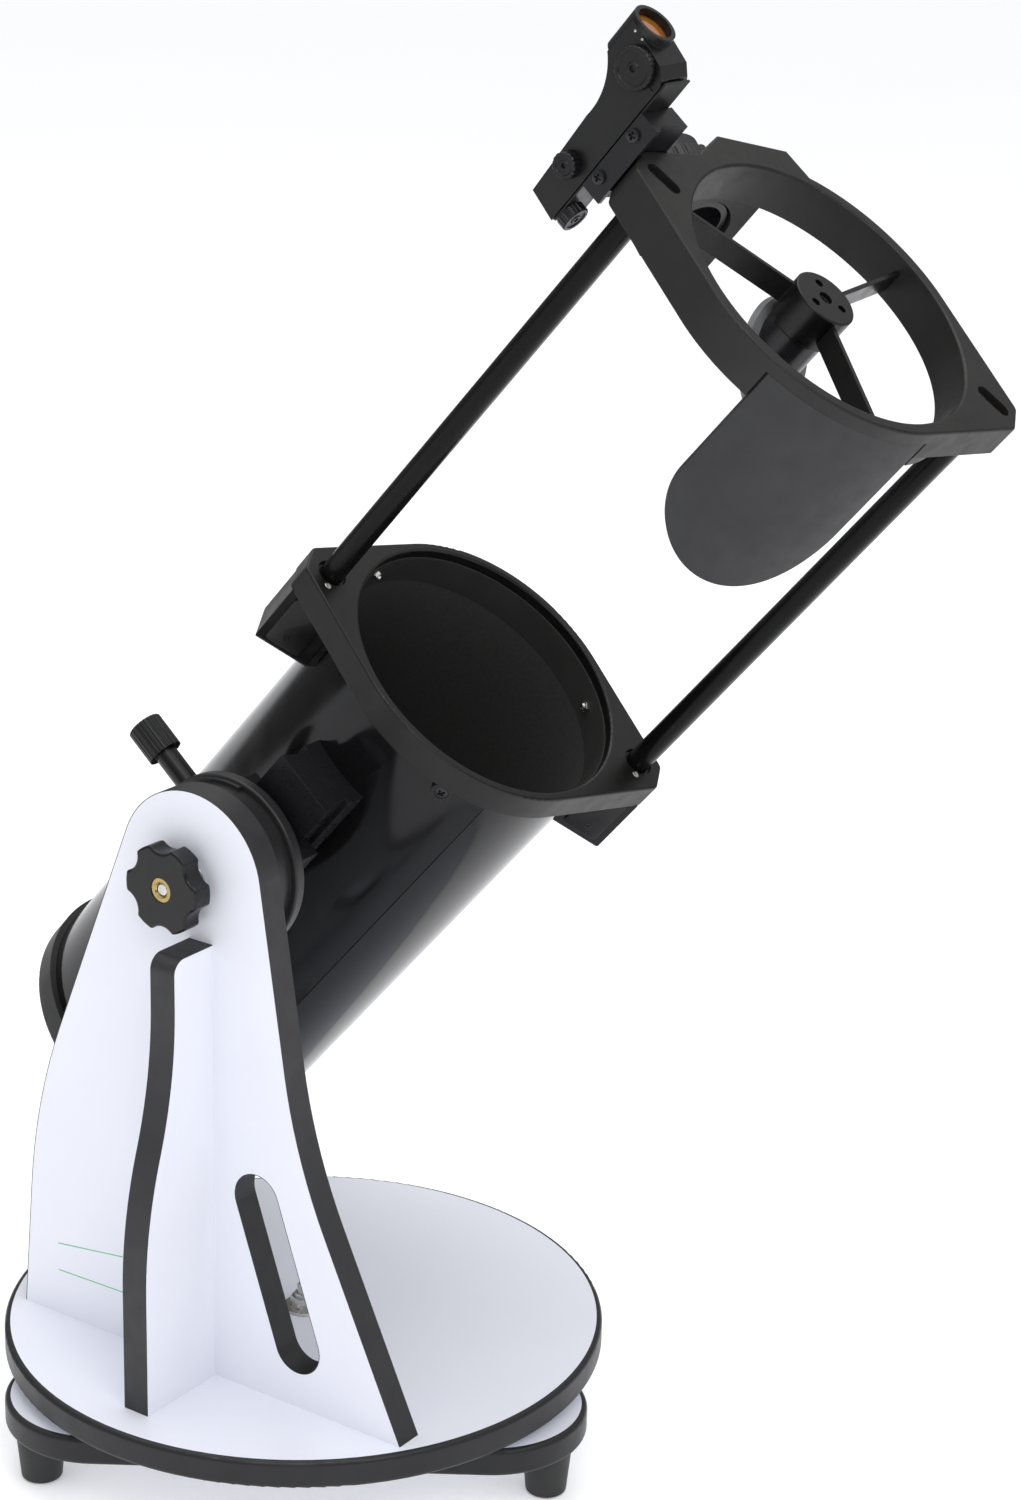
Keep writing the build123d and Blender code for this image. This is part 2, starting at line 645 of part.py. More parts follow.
# ---------------------------------------------------------------- mirror end
CELL_REAR = -258.0
CELL_R = 95.5
MIRROR_R = 76.2
MIRROR_BACK = -234.0
MIRROR_T = 20.0
MIRROR_CURVE = 1500.0      # radius of the mirror's hollow face
PUSH_AT = 60.0
LOCK_START = 24.0          # lock screws stand this far round from the collimation screws
CELL_WEB_S = -251.0
CELL_WEB_T = 4.0
CELL_HOLE_R = 40.0
CELL_PLATE_S = -241.0
PAD_PLANE_S = -236.0
HEAD_S = -251.1

with BuildPart() as rear_cell:
    with BuildSketch(across(CELL_REAR)):
        washer_sketch(CELL_R, TUBE_R - 3)
    extrude(amount=TUBE_REAR - CELL_REAR - 0.1)
    with BuildSketch(across(TUBE_REAR - 0.1)):
        washer_sketch(CELL_R, TUBE_R + 0.05)
    extrude(amount=6)
    with BuildSketch(across(CELL_WEB_S)):
        washer_sketch(TUBE_R, CELL_HOLE_R)
        with PolarLocations(PUSH_AT, 3):
            Circle(2.7, mode=Mode.SUBTRACT)
        with PolarLocations(PUSH_AT, 3, start_angle=LOCK_START):
            Circle(2.2, mode=Mode.SUBTRACT)
    extrude(amount=CELL_WEB_T)
    outer_rim = rear_cell.edges().filter_by(GeomType.CIRCLE).sort_by(lambda edge: edge.center().dot(AXIS))
    fillet(outer_rim.filter_by(lambda edge: edge.length > 2 * 3.1 * CELL_R)[:1], radius=2.5)
save(rear_cell, "rear_cell")

with BuildPart() as mirror_cell:
    with BuildSketch(across(CELL_PLATE_S)):
        Circle(82)
        with PolarLocations(82, 3, start_angle=30):
            Circle(26, mode=Mode.SUBTRACT)
        Circle(22, mode=Mode.SUBTRACT)
        with PolarLocations(PUSH_AT, 3):
            Circle(2.45, mode=Mode.SUBTRACT)
    extrude(amount=PAD_PLANE_S - CELL_PLATE_S)
save(mirror_cell, "mirror_cell")

with BuildPart() as mirror_pads:
    with BuildSketch(across(PAD_PLANE_S)):
        with PolarLocations(44, 3):
            Circle(7)
    extrude(amount=MIRROR_BACK - PAD_PLANE_S)
save(mirror_pads, "mirror_pads")

with BuildPart() as primary_mirror:
    dip = MIRROR_CURVE - sqrt(MIRROR_CURVE**2 - MIRROR_R**2)
    with BuildSketch(Plane(origin=at(0, 0, MIRROR_BACK), x_dir=SIDE, z_dir=-UP)):
        with BuildLine():
            Polyline((0, MIRROR_T - dip), (0, 0), (MIRROR_R, 0), (MIRROR_R, MIRROR_T))
            RadiusArc((MIRROR_R, MIRROR_T), (0, MIRROR_T - dip), MIRROR_CURVE)
        make_face()
    revolve(axis=Axis(at(0, 0, 0), AXIS))
save(primary_mirror, "primary_mirror")

with BuildPart() as mirror_clips:
    with BuildSketch(across(PAD_PLANE_S)):
        with PolarLocations(79.2, 3):
            Rectangle(5.4, 12)
    extrude(amount=MIRROR_T + 3.5)
    with BuildSketch(across(PAD_PLANE_S + MIRROR_T + 2.05)):
        with PolarLocations(76, 3):
            Rectangle(11.8, 12)
    extrude(amount=1.6)
    with BuildSketch(across(PAD_PLANE_S - 1)):
        Circle(MIRROR_R + 0.1)
    extrude(amount=MIRROR_T + 3.05, mode=Mode.SUBTRACT)
save(mirror_clips, "mirror_clips")

with BuildPart() as collimation_screws:
    with BuildSketch(across(-257.5)):
        with PolarLocations(PUSH_AT, 3):
            Circle(6)
    extrude(amount=6.4)
    with BuildSketch(across(HEAD_S)):
        with PolarLocations(PUSH_AT, 3):
            Circle(2.4)
    extrude(amount=14)
save(collimation_screws, "collimation_screws")

with BuildPart() as collimation_springs:
    with BuildSketch(across(-246.9)):
        with PolarLocations(PUSH_AT, 3):
            washer_sketch(5, 3)
    extrude(amount=5.8)
save(collimation_springs, "collimation_springs")

with BuildPart() as lock_screws:
    with BuildSketch(across(-255)):
        with PolarLocations(PUSH_AT, 3, start_angle=LOCK_START):
            Circle(3.6)
    extrude(amount=3.9)
    with BuildSketch(across(HEAD_S)):
        with PolarLocations(PUSH_AT, 3, start_angle=LOCK_START):
            Circle(2.15)
    extrude(amount=10)
save(lock_screws, "lock_screws")

# ---------------------------------------------------------------- rods and upper ring
with BuildPart() as truss_rods:
    with BuildSketch(across(ROD_LOW)):
        with Locations(*RODS):
            Circle(ROD_R)
    extrude(amount=ROD_TOP - ROD_LOW)
    chamfer(truss_rods.edges().filter_by(GeomType.CIRCLE), length=0.8)
save(truss_rods, "truss_rods")

SLOT_ANGLE = -75.5
SLOT_DEPTH = 5.0
SLOT_LENGTH = 22.5
SLOT_W = 10.0
GROOVE_R = RING_OUT - 2.2  # bottom of the recess that holds the baffle
GROOVE_DEPTH = 18.5
PAD_HALF = 27.0
PAD_LOW = 398.0
PAD_IN = 98.0
PAD_OUT = 113.0
SLEEVE_R = 24.0
BLOCK_ANGLE = 69.6         # direction the flat top of the ring's thick part faces
BLOCK_CORNERS = [(75, -45), (91, -38), (111, -29.6), (111, 24.8), (94.3, 46.9), (75, 60)]


def focus_plane(radius):
    """Plane across the eyepiece tube, with x towards the sky."""
    return outward(FOCUS_ANGLE, radius, OPTIC_S)


with BuildPart() as upper_ring:
    with BuildSketch(across(RING_BACK)):
        washer_sketch(RING_OUT, RING_IN)
    extrude(amount=RING_FRONT - RING_BACK)
    with BuildSketch(across(RING_FRONT - EAR_DEPTH)):
        eared_outline(RING_OUT)
        Circle(RING_IN, mode=Mode.SUBTRACT)
    extrude(amount=EAR_DEPTH)
    with BuildSketch(across(RING_BACK)):
        eared_outline(RING_OUT)
        Circle(RING_IN, mode=Mode.SUBTRACT)
        with Locations(Rotation(0, 0, EAR_ANGLE)):
            Rectangle(300, 300, align=(Align.MAX, Align.CENTER), mode=Mode.INTERSECT)
    extrude(amount=RING_FRONT - RING_BACK)
    with BuildSketch(across(PAD_LOW)):
        with Locations(Rotation(0, 0, FOCUS_ANGLE)):
            with Locations((PAD_IN - 4, 0)):
                Rectangle(PAD_OUT - PAD_IN + 4, 2 * PAD_HALF, align=(Align.MIN, Align.CENTER))
        Circle(PAD_IN, mode=Mode.SUBTRACT)
    extrude(amount=RING_BACK - PAD_LOW)
    with BuildSketch(across(RING_BACK)):
        with Locations(Rotation(0, 0, BLOCK_ANGLE)):
            Polygon(*BLOCK_CORNERS, align=None)
        Circle(RING_IN, mode=Mode.SUBTRACT)
    extrude(amount=RING_FRONT - RING_BACK)
    front = upper_ring.faces().sort_by(lambda face: face.center().dot(AXIS))[-1]
    fillet(front.edges(), radius=1.5)
    with BuildSketch(across(RING_BACK)):
        washer_sketch(RING_OUT + 1, GROOVE_R)
        sector = [polar(RING_OUT + 40, angle) for angle in (BAFFLE_FROM, BAFFLE_TO - 35, BAFFLE_TO)]
        Polygon((0, 0), *sector, align=None, mode=Mode.INTERSECT)
    extrude(amount=GROOVE_DEPTH, mode=Mode.SUBTRACT)
    with BuildSketch(across(RING_BACK - 1)):
        with Locations(*RODS):
            Circle(ROD_R + 0.02)
    extrude(amount=ROD_TOP - RING_BACK + 1.05, mode=Mode.SUBTRACT)
    with BuildSketch(across(RING_FRONT - SLOT_DEPTH)):
        with Locations(*[Location((x, y), SLOT_ANGLE) for x, y in RODS]):
            SlotOverall(SLOT_LENGTH, SLOT_W)
    extrude(amount=8, mode=Mode.SUBTRACT)
    with BuildSketch(focus_plane(PAD_IN - 12)):
        Circle(SLEEVE_R - 4)
    extrude(amount=40, mode=Mode.SUBTRACT)
save(upper_ring, "upper_ring")

ROD_SCREW_STEP = 6.2
with BuildPart() as rod_screws:
    with BuildSketch(across(RING_FRONT - SLOT_DEPTH + 0.02)):
        with Locations(*[Location((x, y), SLOT_ANGLE) for x, y in RODS]):
            with GridLocations(2 * ROD_SCREW_STEP, 1, 2, 1):
                Circle(3.4)
    extrude(amount=2.4)
save(rod_screws, "rod_screws")

BAFFLE_IN = GROOVE_R + 0.05
BAFFLE_TOP = RING_BACK + GROOVE_DEPTH - 0.1
BAFFLE_MIDDLE = (BAFFLE_FROM + BAFFLE_TO) / 2
BAFFLE_HALF = GROOVE_R * sin(radians(BAFFLE_TO - BAFFLE_FROM) / 2) - 0.15
with BuildPart() as baffle:
    with BuildSketch(across(BAFFLE_END)):
        washer_sketch(RING_OUT - 0.05, BAFFLE_IN)
    extrude(amount=BAFFLE_TOP - BAFFLE_END)
    with BuildSketch(outward(BAFFLE_MIDDLE, 30, BAFFLE_END)):
        with Locations((BAFFLE_HALF, 0)):
            Ellipse(BAFFLE_HALF, BAFFLE_HALF)
            Rectangle(BAFFLE_TOP - BAFFLE_END, 2 * BAFFLE_HALF, align=(Align.MIN, Align.CENTER))
    extrude(amount=80, mode=Mode.INTERSECT)
save(baffle, "baffle")

HUB_TOP = RING_FRONT - 5
HUB_BACK = 451.0
VANE_TOP = 470.0
VANE_LOW = 456.0
HOLDER_R = 17.0
VANE_T = 2.6
AIM_AT = 11.0              # circle through the three screws that aim the flat mirror
AIM_START = VANE_START + 60
with BuildPart() as spider:
    with BuildSketch(across(VANE_LOW)):
        with PolarLocations(0, 3, start_angle=VANE_START):
            Rectangle(RING_IN + 1, VANE_T, align=(Align.MIN, Align.CENTER))
        Circle(RING_IN - 0.02, mode=Mode.INTERSECT)
    extrude(amount=VANE_TOP - VANE_LOW)
    with BuildSketch(across(HUB_BACK)):
        Circle(HUB_R)
    extrude(amount=HUB_TOP - HUB_BACK)
    hub_rims = spider.edges().filter_by(GeomType.CIRCLE).sort_by(lambda edge: edge.center().dot(AXIS))
    fillet(hub_rims[-1], radius=1)
    with BuildSketch(across(HUB_TOP)):
        Circle(4.2)
        with PolarLocations(AIM_AT, 3, start_angle=AIM_START):
            Circle(2.6)
    extrude(amount=-6, mode=Mode.SUBTRACT)
    with BuildSketch(across(HUB_BACK)):
        Circle(2.4)
        with PolarLocations(AIM_AT, 3, start_angle=AIM_START):
            Circle(1.9)
    extrude(amount=HUB_TOP - HUB_BACK, mode=Mode.SUBTRACT)
save(spider, "spider")

with BuildPart() as secondary_screws:
    with BuildSketch(across(HUB_TOP - 5)):
        Circle(3.9)
        with PolarLocations(AIM_AT, 3, start_angle=AIM_START):
            Circle(2.5)
    extrude(amount=3)
    with BuildSketch(across(HUB_BACK - 1.4)):
        with PolarLocations(AIM_AT, 3, start_angle=AIM_START):
            Circle(1.85)
    extrude(amount=HUB_TOP - 5 - HUB_BACK + 1.4)
    with BuildSketch(across(HUB_BACK - 8)):
        Circle(2.35)
    extrude(amount=HUB_TOP - 5 - HUB_BACK + 8)
save(secondary_screws, "secondary_screws")

RAY = SIDE * cos(radians(FOCUS_ANGLE)) + UP * sin(radians(FOCUS_ANGLE))
MIRROR_NORMAL = (RAY - AXIS).normalized()
DIAGONAL = Plane(origin=at(0, 0, OPTIC_S), x_dir=RAY + AXIS, z_dir=MIRROR_NORMAL)
FLAT_T = 5.0
with BuildPart() as secondary_holder:
    with BuildSketch(across(OPTIC_S - 30)):
        Circle(HOLDER_R)
    extrude(amount=HUB_BACK - 1.5 - OPTIC_S + 30)
    with BuildSketch(DIAGONAL.offset(-FLAT_T - 0.02)):
        Rectangle(140, 140)
    extrude(amount=80, mode=Mode.SUBTRACT)
    with BuildSketch(across(HUB_BACK - 8.1)):
        Circle(2.4)
    extrude(amount=8, mode=Mode.SUBTRACT)
save(secondary_holder, "secondary_holder")

FLAT_MINOR = 24.5
with BuildPart() as secondary_mirror:
    with BuildSketch(DIAGONAL):
        Ellipse(FLAT_MINOR * sqrt(2), FLAT_MINOR)
    extrude(amount=-FLAT_T)
save(secondary_mirror, "secondary_mirror")

# ---------------------------------------------------------------- focuser
SLEEVE_TOP = 126.0
DRAW_R = 19.0
EYEPIECE_R = 15.95         # bore for 1.25 inch eyepieces
DRAW_IN = 99.0
DRAW_OUT = 148.0
EYEPIECE_LENGTH = 32.0
FLANGE_T = 10.0
LOCK_AT = DRAW_OUT - FLANGE_T / 2

with BuildPart() as focuser_base:
    with BuildSketch(focus_plane(PAD_OUT + 0.05)):
        RectangleRounded(46, 50, 7)
    extrude(amount=4)
    with BuildSketch(focus_plane(PAD_OUT + 4)):
        Circle(SLEEVE_R)
    extrude(amount=SLEEVE_TOP - PAD_OUT - 4)
    with BuildSketch(focus_plane(PAD_OUT)):
        Circle(DRAW_R + 0.1)
    extrude(amount=30, mode=Mode.SUBTRACT)
save(focuser_base, "focuser_base")

RING_GRIP_R = 28.0
GRIP_LOW = SLEEVE_TOP + 0.3
GRIP_TOP = 135.5
with BuildPart() as focus_ring:
    with BuildSketch(focus_plane(GRIP_LOW)):
        knurled_sketch(RING_GRIP_R, 30, 1.5)
        Circle(DRAW_R + 0.1, mode=Mode.SUBTRACT)
    extrude(amount=GRIP_TOP - GRIP_LOW)
save(focus_ring, "focus_ring")

with BuildPart() as drawtube:
    with BuildSketch(focus_plane(DRAW_IN)):
        washer_sketch(DRAW_R, EYEPIECE_R - 0.9)
    extrude(amount=DRAW_OUT - EYEPIECE_LENGTH - DRAW_IN)
    with BuildSketch(focus_plane(DRAW_OUT - EYEPIECE_LENGTH)):
        washer_sketch(DRAW_R, EYEPIECE_R)
    extrude(amount=EYEPIECE_LENGTH)
    with BuildSketch(focus_plane(DRAW_OUT - FLANGE_T)):
        washer_sketch(DRAW_R + 4, EYEPIECE_R)
    extrude(amount=FLANGE_T)
    lock_plane = Plane(origin=focus_plane(LOCK_AT).origin, x_dir=AXIS, z_dir=focus_plane(LOCK_AT).y_dir)
    with BuildSketch(lock_plane.offset(EYEPIECE_R - 2)):
        Circle(2.05)
    extrude(amount=12, mode=Mode.SUBTRACT)
save(drawtube, "drawtube")

with BuildPart() as eyepiece_screw:
    with BuildSketch(lock_plane.offset(EYEPIECE_R + 0.6)):
        Circle(2)
    extrude(amount=9)
    with BuildSketch(lock_plane.offset(DRAW_R + 5)):
        knurled_sketch(5, 16, 0.6)
    extrude(amount=8)
save(eyepiece_screw, "eyepiece_screw")

# ---------------------------------------------------------------- finder
BRACKET_LOW = 109.0
BRACKET_TOP = 123.0
YOKE_TOP = 124.4
BODY_LOW = 124.6
FINDER_NEAR = FINDER_X - FINDER_W / 2
SIGHT_UP = 154.5           # line of sight above the tube axis
SIGHT_R = 10.5
WINDOW_S = 524.0
HOOD_FRONT = 529.5
SWING_S = 470.0
ALT_KNOB_S = 420.5
ALT_KNOB_X = -62.0
HINGE_S = 511.0            # cross pin that the finder tilts on
HINGE_UP = 128.0
HINGE_R = 2.0


BRACKET_HOLES = [(453, 118), (485, 118)]
HOOD_BACK = 504.0
SWING_R = 5.0


def along_plane(side, up, s):
    """Plane across the finder's line of sight."""
    return Plane(origin=at(side, up, s), x_dir=SIDE, z_dir=AXIS)


def swing_plane(up):
    """Plane under the finder, across the axis it swings on."""
    return Plane(origin=at(FINDER_X, up, SWING_S), x_dir=AXIS, z_dir=UP)


with BuildPart() as finder_bracket:
    with BuildSketch(along_plane(FINDER_X, 0, 442)):
        with Locations((0, BRACKET_LOW)):
            Rectangle(FINDER_W + 4, BRACKET_TOP - BRACKET_LOW, align=(Align.CENTER, Align.MIN))
    extrude(amount=55)
    with BuildSketch(along_plane(FINDER_X + 2, 0, 462)):
        with Locations((0, 100)):
            Rectangle(FINDER_W - 2, BRACKET_LOW - 100, align=(Align.CENTER, Align.MIN))
    extrude(amount=RING_FRONT - 462)
    with BuildSketch(across(440)):
        eared_outline(RING_OUT, gap=0.05)
    extrude(amount=60, mode=Mode.SUBTRACT)
    with BuildSketch(beside(FINDER_NEAR - 2)):
        with Locations(*BRACKET_HOLES):
            Circle(2.4)
    extrude(amount=-7, mode=Mode.SUBTRACT)
    with BuildSketch(swing_plane(BRACKET_TOP)):
        Circle(SWING_R + 0.05)
    extrude(amount=-3, mode=Mode.SUBTRACT)
save(finder_bracket, "finder_bracket")

with BuildPart() as bracket_screws:
    with BuildSketch(beside(FINDER_NEAR - 2.1)):
        with Locations(*BRACKET_HOLES):
            Circle(3.8)
    extrude(amount=2)
    with BuildSketch(beside(FINDER_NEAR - 2.1)):
        with Locations(*BRACKET_HOLES):
            Circle(2.3)
    extrude(amount=-6)
save(bracket_screws, "bracket_screws")

with BuildPart() as finder_yoke:
    with BuildSketch(along_plane(FINDER_X, 0, 413)):
        with Locations((0, BRACKET_TOP + 0.1)):
            Rectangle(FINDER_W - 2, YOKE_TOP - BRACKET_TOP - 0.1, align=(Align.CENTER, Align.MIN))
    extrude(amount=104)
    with BuildSketch(swing_plane(BRACKET_TOP - 2.9)):
        Circle(SWING_R)
    extrude(amount=YOKE_TOP - BRACKET_TOP + 2.9)
    with BuildSketch(along_plane(FINDER_X, 0, HINGE_S - 4.5)):
        with Locations((0, YOKE_TOP - 0.5)):
            Rectangle(11.6, HINGE_UP + 3.5 - YOKE_TOP, align=(Align.CENTER, Align.MIN))
    extrude(amount=9)
    with BuildSketch(beside(FINDER_X - FINDER_W / 2 + 0.5)):
        with Locations((HINGE_S, HINGE_UP)):
            Circle(HINGE_R)
    extrude(amount=1 - FINDER_W)
    with Locations(Plane(origin=at(ALT_KNOB_X, YOKE_TOP, ALT_KNOB_S), x_dir=AXIS, z_dir=UP)):
        Hole(3)
save(finder_yoke, "finder_yoke")

with BuildPart() as finder_body:
    with BuildSketch(beside(FINDER_NEAR)):
        with BuildLine():
            Polyline((470, 146.8), (415, 144), (412, BODY_LOW), (514, BODY_LOW), (517, 126.5))
            Polyline((517, 126.5), (522, 132), (524.5, 146), (526.5, 157), (526.5, 160.5), (504, 160.5))
            ThreePointArc((504, 160.5), (493.5, 151.8), (470, 146.8))
        make_face()
    extrude(amount=-FINDER_W)
    with BuildSketch(along_plane(FINDER_X, SIGHT_UP, HOOD_BACK)):
        Circle(FINDER_W / 2)
    extrude(amount=HOOD_FRONT - HOOD_BACK)
    with BuildSketch(along_plane(FINDER_X, SIGHT_UP, 411)):
        Circle(SIGHT_R)
    extrude(amount=123, mode=Mode.SUBTRACT)
    with BuildSketch(along_plane(FINDER_X, 0, 424)):
        with Locations((0, 138)):
            Rectangle(17, 60, align=(Align.CENTER, Align.MIN))
    extrude(amount=80, mode=Mode.SUBTRACT)
    with BuildSketch(Plane(origin=at(ALT_KNOB_X, BODY_LOW, ALT_KNOB_S), x_dir=AXIS, z_dir=UP)):
        Circle(4)
    extrude(amount=8, mode=Mode.SUBTRACT)
    with BuildSketch(along_plane(FINDER_X, 0, HINGE_S - 5.5)):
        with Locations((0, BODY_LOW - 1)):
            Rectangle(12.2, HINGE_UP + 5 - BODY_LOW, align=(Align.CENTER, Align.MIN))
    extrude(amount=11, mode=Mode.SUBTRACT)
    with BuildSketch(beside(FINDER_NEAR)):
        with Locations((HINGE_S, HINGE_UP)):
            Circle(HINGE_R + 0.1)
    extrude(amount=-FINDER_W, mode=Mode.SUBTRACT)
save(finder_body, "finder_body")

with BuildPart() as finder_window:
    with BuildSketch(along_plane(FINDER_X, SIGHT_UP, WINDOW_S)):
        Circle(SIGHT_R - 0.02)
    extrude(amount=2)
save(finder_window, "finder_window")

with BuildPart() as finder_lamp:
    with BuildSketch(along_plane(FINDER_X, 141.5, 436)):
        Circle(3.4)
    extrude(amount=9)
save(finder_lamp, "finder_lamp")


def knob_plane(s, up):
    """Plane on the side of the finder that faces the arm."""
    return Plane(origin=at(FINDER_NEAR - 0.1, up, s), x_dir=AXIS, z_dir=-SIDE)


with BuildPart() as finder_switch:
    with BuildSketch(knob_plane(511, 141.5)):
        knurled_sketch(12, 30, 0.8)
    extrude(amount=4.5)
save(finder_switch, "finder_switch")

with BuildPart() as finder_side_knob:
    with BuildSketch(knob_plane(443, 136.5)):
        knurled_sketch(7.5, 20, 0.8)
    extrude(amount=6.5)
save(finder_side_knob, "finder_side_knob")

with BuildPart() as finder_under_knob:
    knob_base = Plane(origin=at(ALT_KNOB_X, 0, ALT_KNOB_S), x_dir=AXIS, z_dir=UP)
    with BuildSketch(knob_base.offset(115.5)):
        knurled_sketch(8.5, 20, 0.8)
    extrude(amount=6.5)
    with BuildSketch(knob_base.offset(122)):
        Circle(2.5)
    extrude(amount=7.5)
save(finder_under_knob, "finder_under_knob")
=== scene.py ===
"""Looks of the tabletop dobsonian telescope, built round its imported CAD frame.

Lengths called "s" run along the tube from the altitude axis towards the sky.
Sizes in the helper calls are millimetres; everything in the scene is in metres.
"""

import json
import math

import bpy
from mathutils import Matrix, Vector


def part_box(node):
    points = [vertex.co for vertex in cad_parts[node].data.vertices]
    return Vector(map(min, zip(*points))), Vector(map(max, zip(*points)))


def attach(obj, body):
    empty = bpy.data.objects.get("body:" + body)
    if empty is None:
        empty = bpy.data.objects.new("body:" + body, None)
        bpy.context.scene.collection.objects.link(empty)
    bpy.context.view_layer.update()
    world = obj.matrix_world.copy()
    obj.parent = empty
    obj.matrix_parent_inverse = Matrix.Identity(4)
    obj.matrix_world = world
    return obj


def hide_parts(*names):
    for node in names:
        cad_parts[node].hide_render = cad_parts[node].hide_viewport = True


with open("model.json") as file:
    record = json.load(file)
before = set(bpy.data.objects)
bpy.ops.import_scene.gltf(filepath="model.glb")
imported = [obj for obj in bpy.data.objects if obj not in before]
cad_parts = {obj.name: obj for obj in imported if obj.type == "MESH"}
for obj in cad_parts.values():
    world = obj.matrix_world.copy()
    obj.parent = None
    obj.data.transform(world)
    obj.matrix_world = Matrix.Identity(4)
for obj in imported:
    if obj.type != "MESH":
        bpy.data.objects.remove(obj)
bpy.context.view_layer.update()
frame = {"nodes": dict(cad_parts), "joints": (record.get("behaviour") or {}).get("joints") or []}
nodes = frame["nodes"]
joints = {j["name"]: j for j in frame["joints"]}

MM = 0.001
SIDE = Vector((1, 0, 0))
AXIS = Vector(joints["truss_slide"]["axis"])
UP = AXIS.cross(SIDE)
RAY = Vector(joints["focus_slide"]["axis"])


def middle(node):
    low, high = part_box(node)
    return (low + high) / 2


CENTRE = Vector(joints["altitude_tilt"]["pos_m"])
CENTRE.x = middle("primary_mirror").x


def at(side, up, s):
    """Point given by its offsets in millimetres from the altitude axis on the tube's centre line."""
    return CENTRE + (SIDE * side + UP * up + AXIS * s) * MM


def radial(angle):
    """Direction across the tube at that angle in degrees, counted from the side towards up."""
    return SIDE * math.cos(math.radians(angle)) + UP * math.sin(math.radians(angle))


def around(angle, radius, s):
    return at(0, 0, s) + radial(angle) * radius * MM


def basis(origin, z_dir, x_dir):
    """Matrix of a place at origin, with its z along z_dir and its x as near x_dir as it can be."""
    z = z_dir.normalized()
    x = (x_dir - z * x_dir.dot(z)).normalized()
    placed = Matrix((x, z.cross(x), z)).transposed().to_4x4()
    placed.translation = origin
    return placed


def linear(red, green, blue):
    """Scene colour for a colour given as 0 to 255."""
    out = []
    for value in (red, green, blue):
        c = value / 255
        out.append(c / 12.92 if c <= 0.04045 else ((c + 0.055) / 1.055) ** 2.4)
    return (*out, 1.0)


# ---------------------------------------------------------------- materials
class Graph:
    """One material's nodes, with short calls for what the materials here share."""

    def __init__(self, name):
        self.material = bpy.data.materials.new(name)
        self.material.use_nodes = True
        self.tree = self.material.node_tree
        self.tree.nodes.clear()
        self.output = self.node("OutputMaterial")
        self.shader = self.node("BsdfPrincipled")
        self.link(self.shader.outputs["BSDF"], self.output.inputs["Surface"])
        self.place = self.node("TexCoord").outputs["Object"]

    def node(self, kind, **settings):
        made = self.tree.nodes.new("ShaderNode" + kind)
        for key, value in settings.items():
            setattr(made, key, value)
        return made

    def link(self, source, target):
        self.tree.links.new(source, target)

    def feed(self, target, value):
        if isinstance(value, bpy.types.NodeSocket):
            self.link(value, target)
        else:
            target.default_value = value

    def math(self, operation, a, b=0.0, c=0.0):
        made = self.node("Math", operation=operation)
        for socket, value in zip(made.inputs, (a, b, c)):
            self.feed(socket, value)
        return made.outputs[0]

    def vector(self, operation, a, b=(0, 0, 0)):
        made = self.node("VectorMath", operation=operation)
        self.feed(made.inputs[0], a)
        self.feed(made.inputs[1], b)
        return made.outputs["Value" if operation in ("DOT_PRODUCT", "LENGTH") else "Vector"]

    def noise(self, size_mm, detail=3.0, rough=0.55, stretch=None):
        """Noise from 0 to 1 whose features are about size_mm across."""
        where = self.place
        if stretch is not None:
            where = self.vector("MULTIPLY", where, stretch)
        made = self.node("TexNoise", noise_dimensions="3D")
        self.link(where, made.inputs["Vector"])
        made.inputs["Scale"].default_value = 1 / (size_mm * MM)
        made.inputs["Detail"].default_value = detail
        made.inputs["Roughness"].default_value = rough
        return made.outputs["Fac"]

    def spread(self, value, low, high, from_low=0.3, from_high=0.7):
        made = self.node("MapRange")
        for socket, v in zip(made.inputs, (value, from_low, from_high, low, high)):
            self.feed(socket, v)
        return made.outputs[0]

    def mix(self, share, first, second):
        made = self.node("Mix", data_type="RGBA")
        self.feed(made.inputs["Factor"], share)
        self.feed(made.inputs[6], first)
        self.feed(made.inputs[7], second)
        return made.outputs[2]

    def scaled(self, colour, factor):
        """Colour brightened or darkened by a factor."""
        made = self.node("VectorMath", operation="SCALE")
        self.feed(made.inputs[0], colour[:3] if isinstance(colour, tuple) else colour)
        self.feed(made.inputs["Scale"], factor)
        return made.outputs["Vector"]

    def bump(self, heights, edge_mm=0.0):
        """Bumps from a list of (height, depth in mm), over edges rounded by edge_mm."""
        normal = None
        if edge_mm:
            rounded = self.node("Bevel", samples=4)
            rounded.inputs["Radius"].default_value = edge_mm * MM
            normal = rounded.outputs["Normal"]
        for height, depth in heights:
            made = self.node("Bump")
            made.inputs["Distance"].default_value = depth * MM
            self.feed(made.inputs["Height"], height)
            if normal is not None:
                self.link(normal, made.inputs["Normal"])
            normal = made.outputs["Normal"]
        self.link(normal, self.shader.inputs["Normal"])

    def settle(self, **values):
        """Sets inputs of the shader, with underscores for the spaces in their names."""
        for key, value in values.items():
            self.feed(self.shader.inputs[key.replace("_", " ")], value)
        return self.material


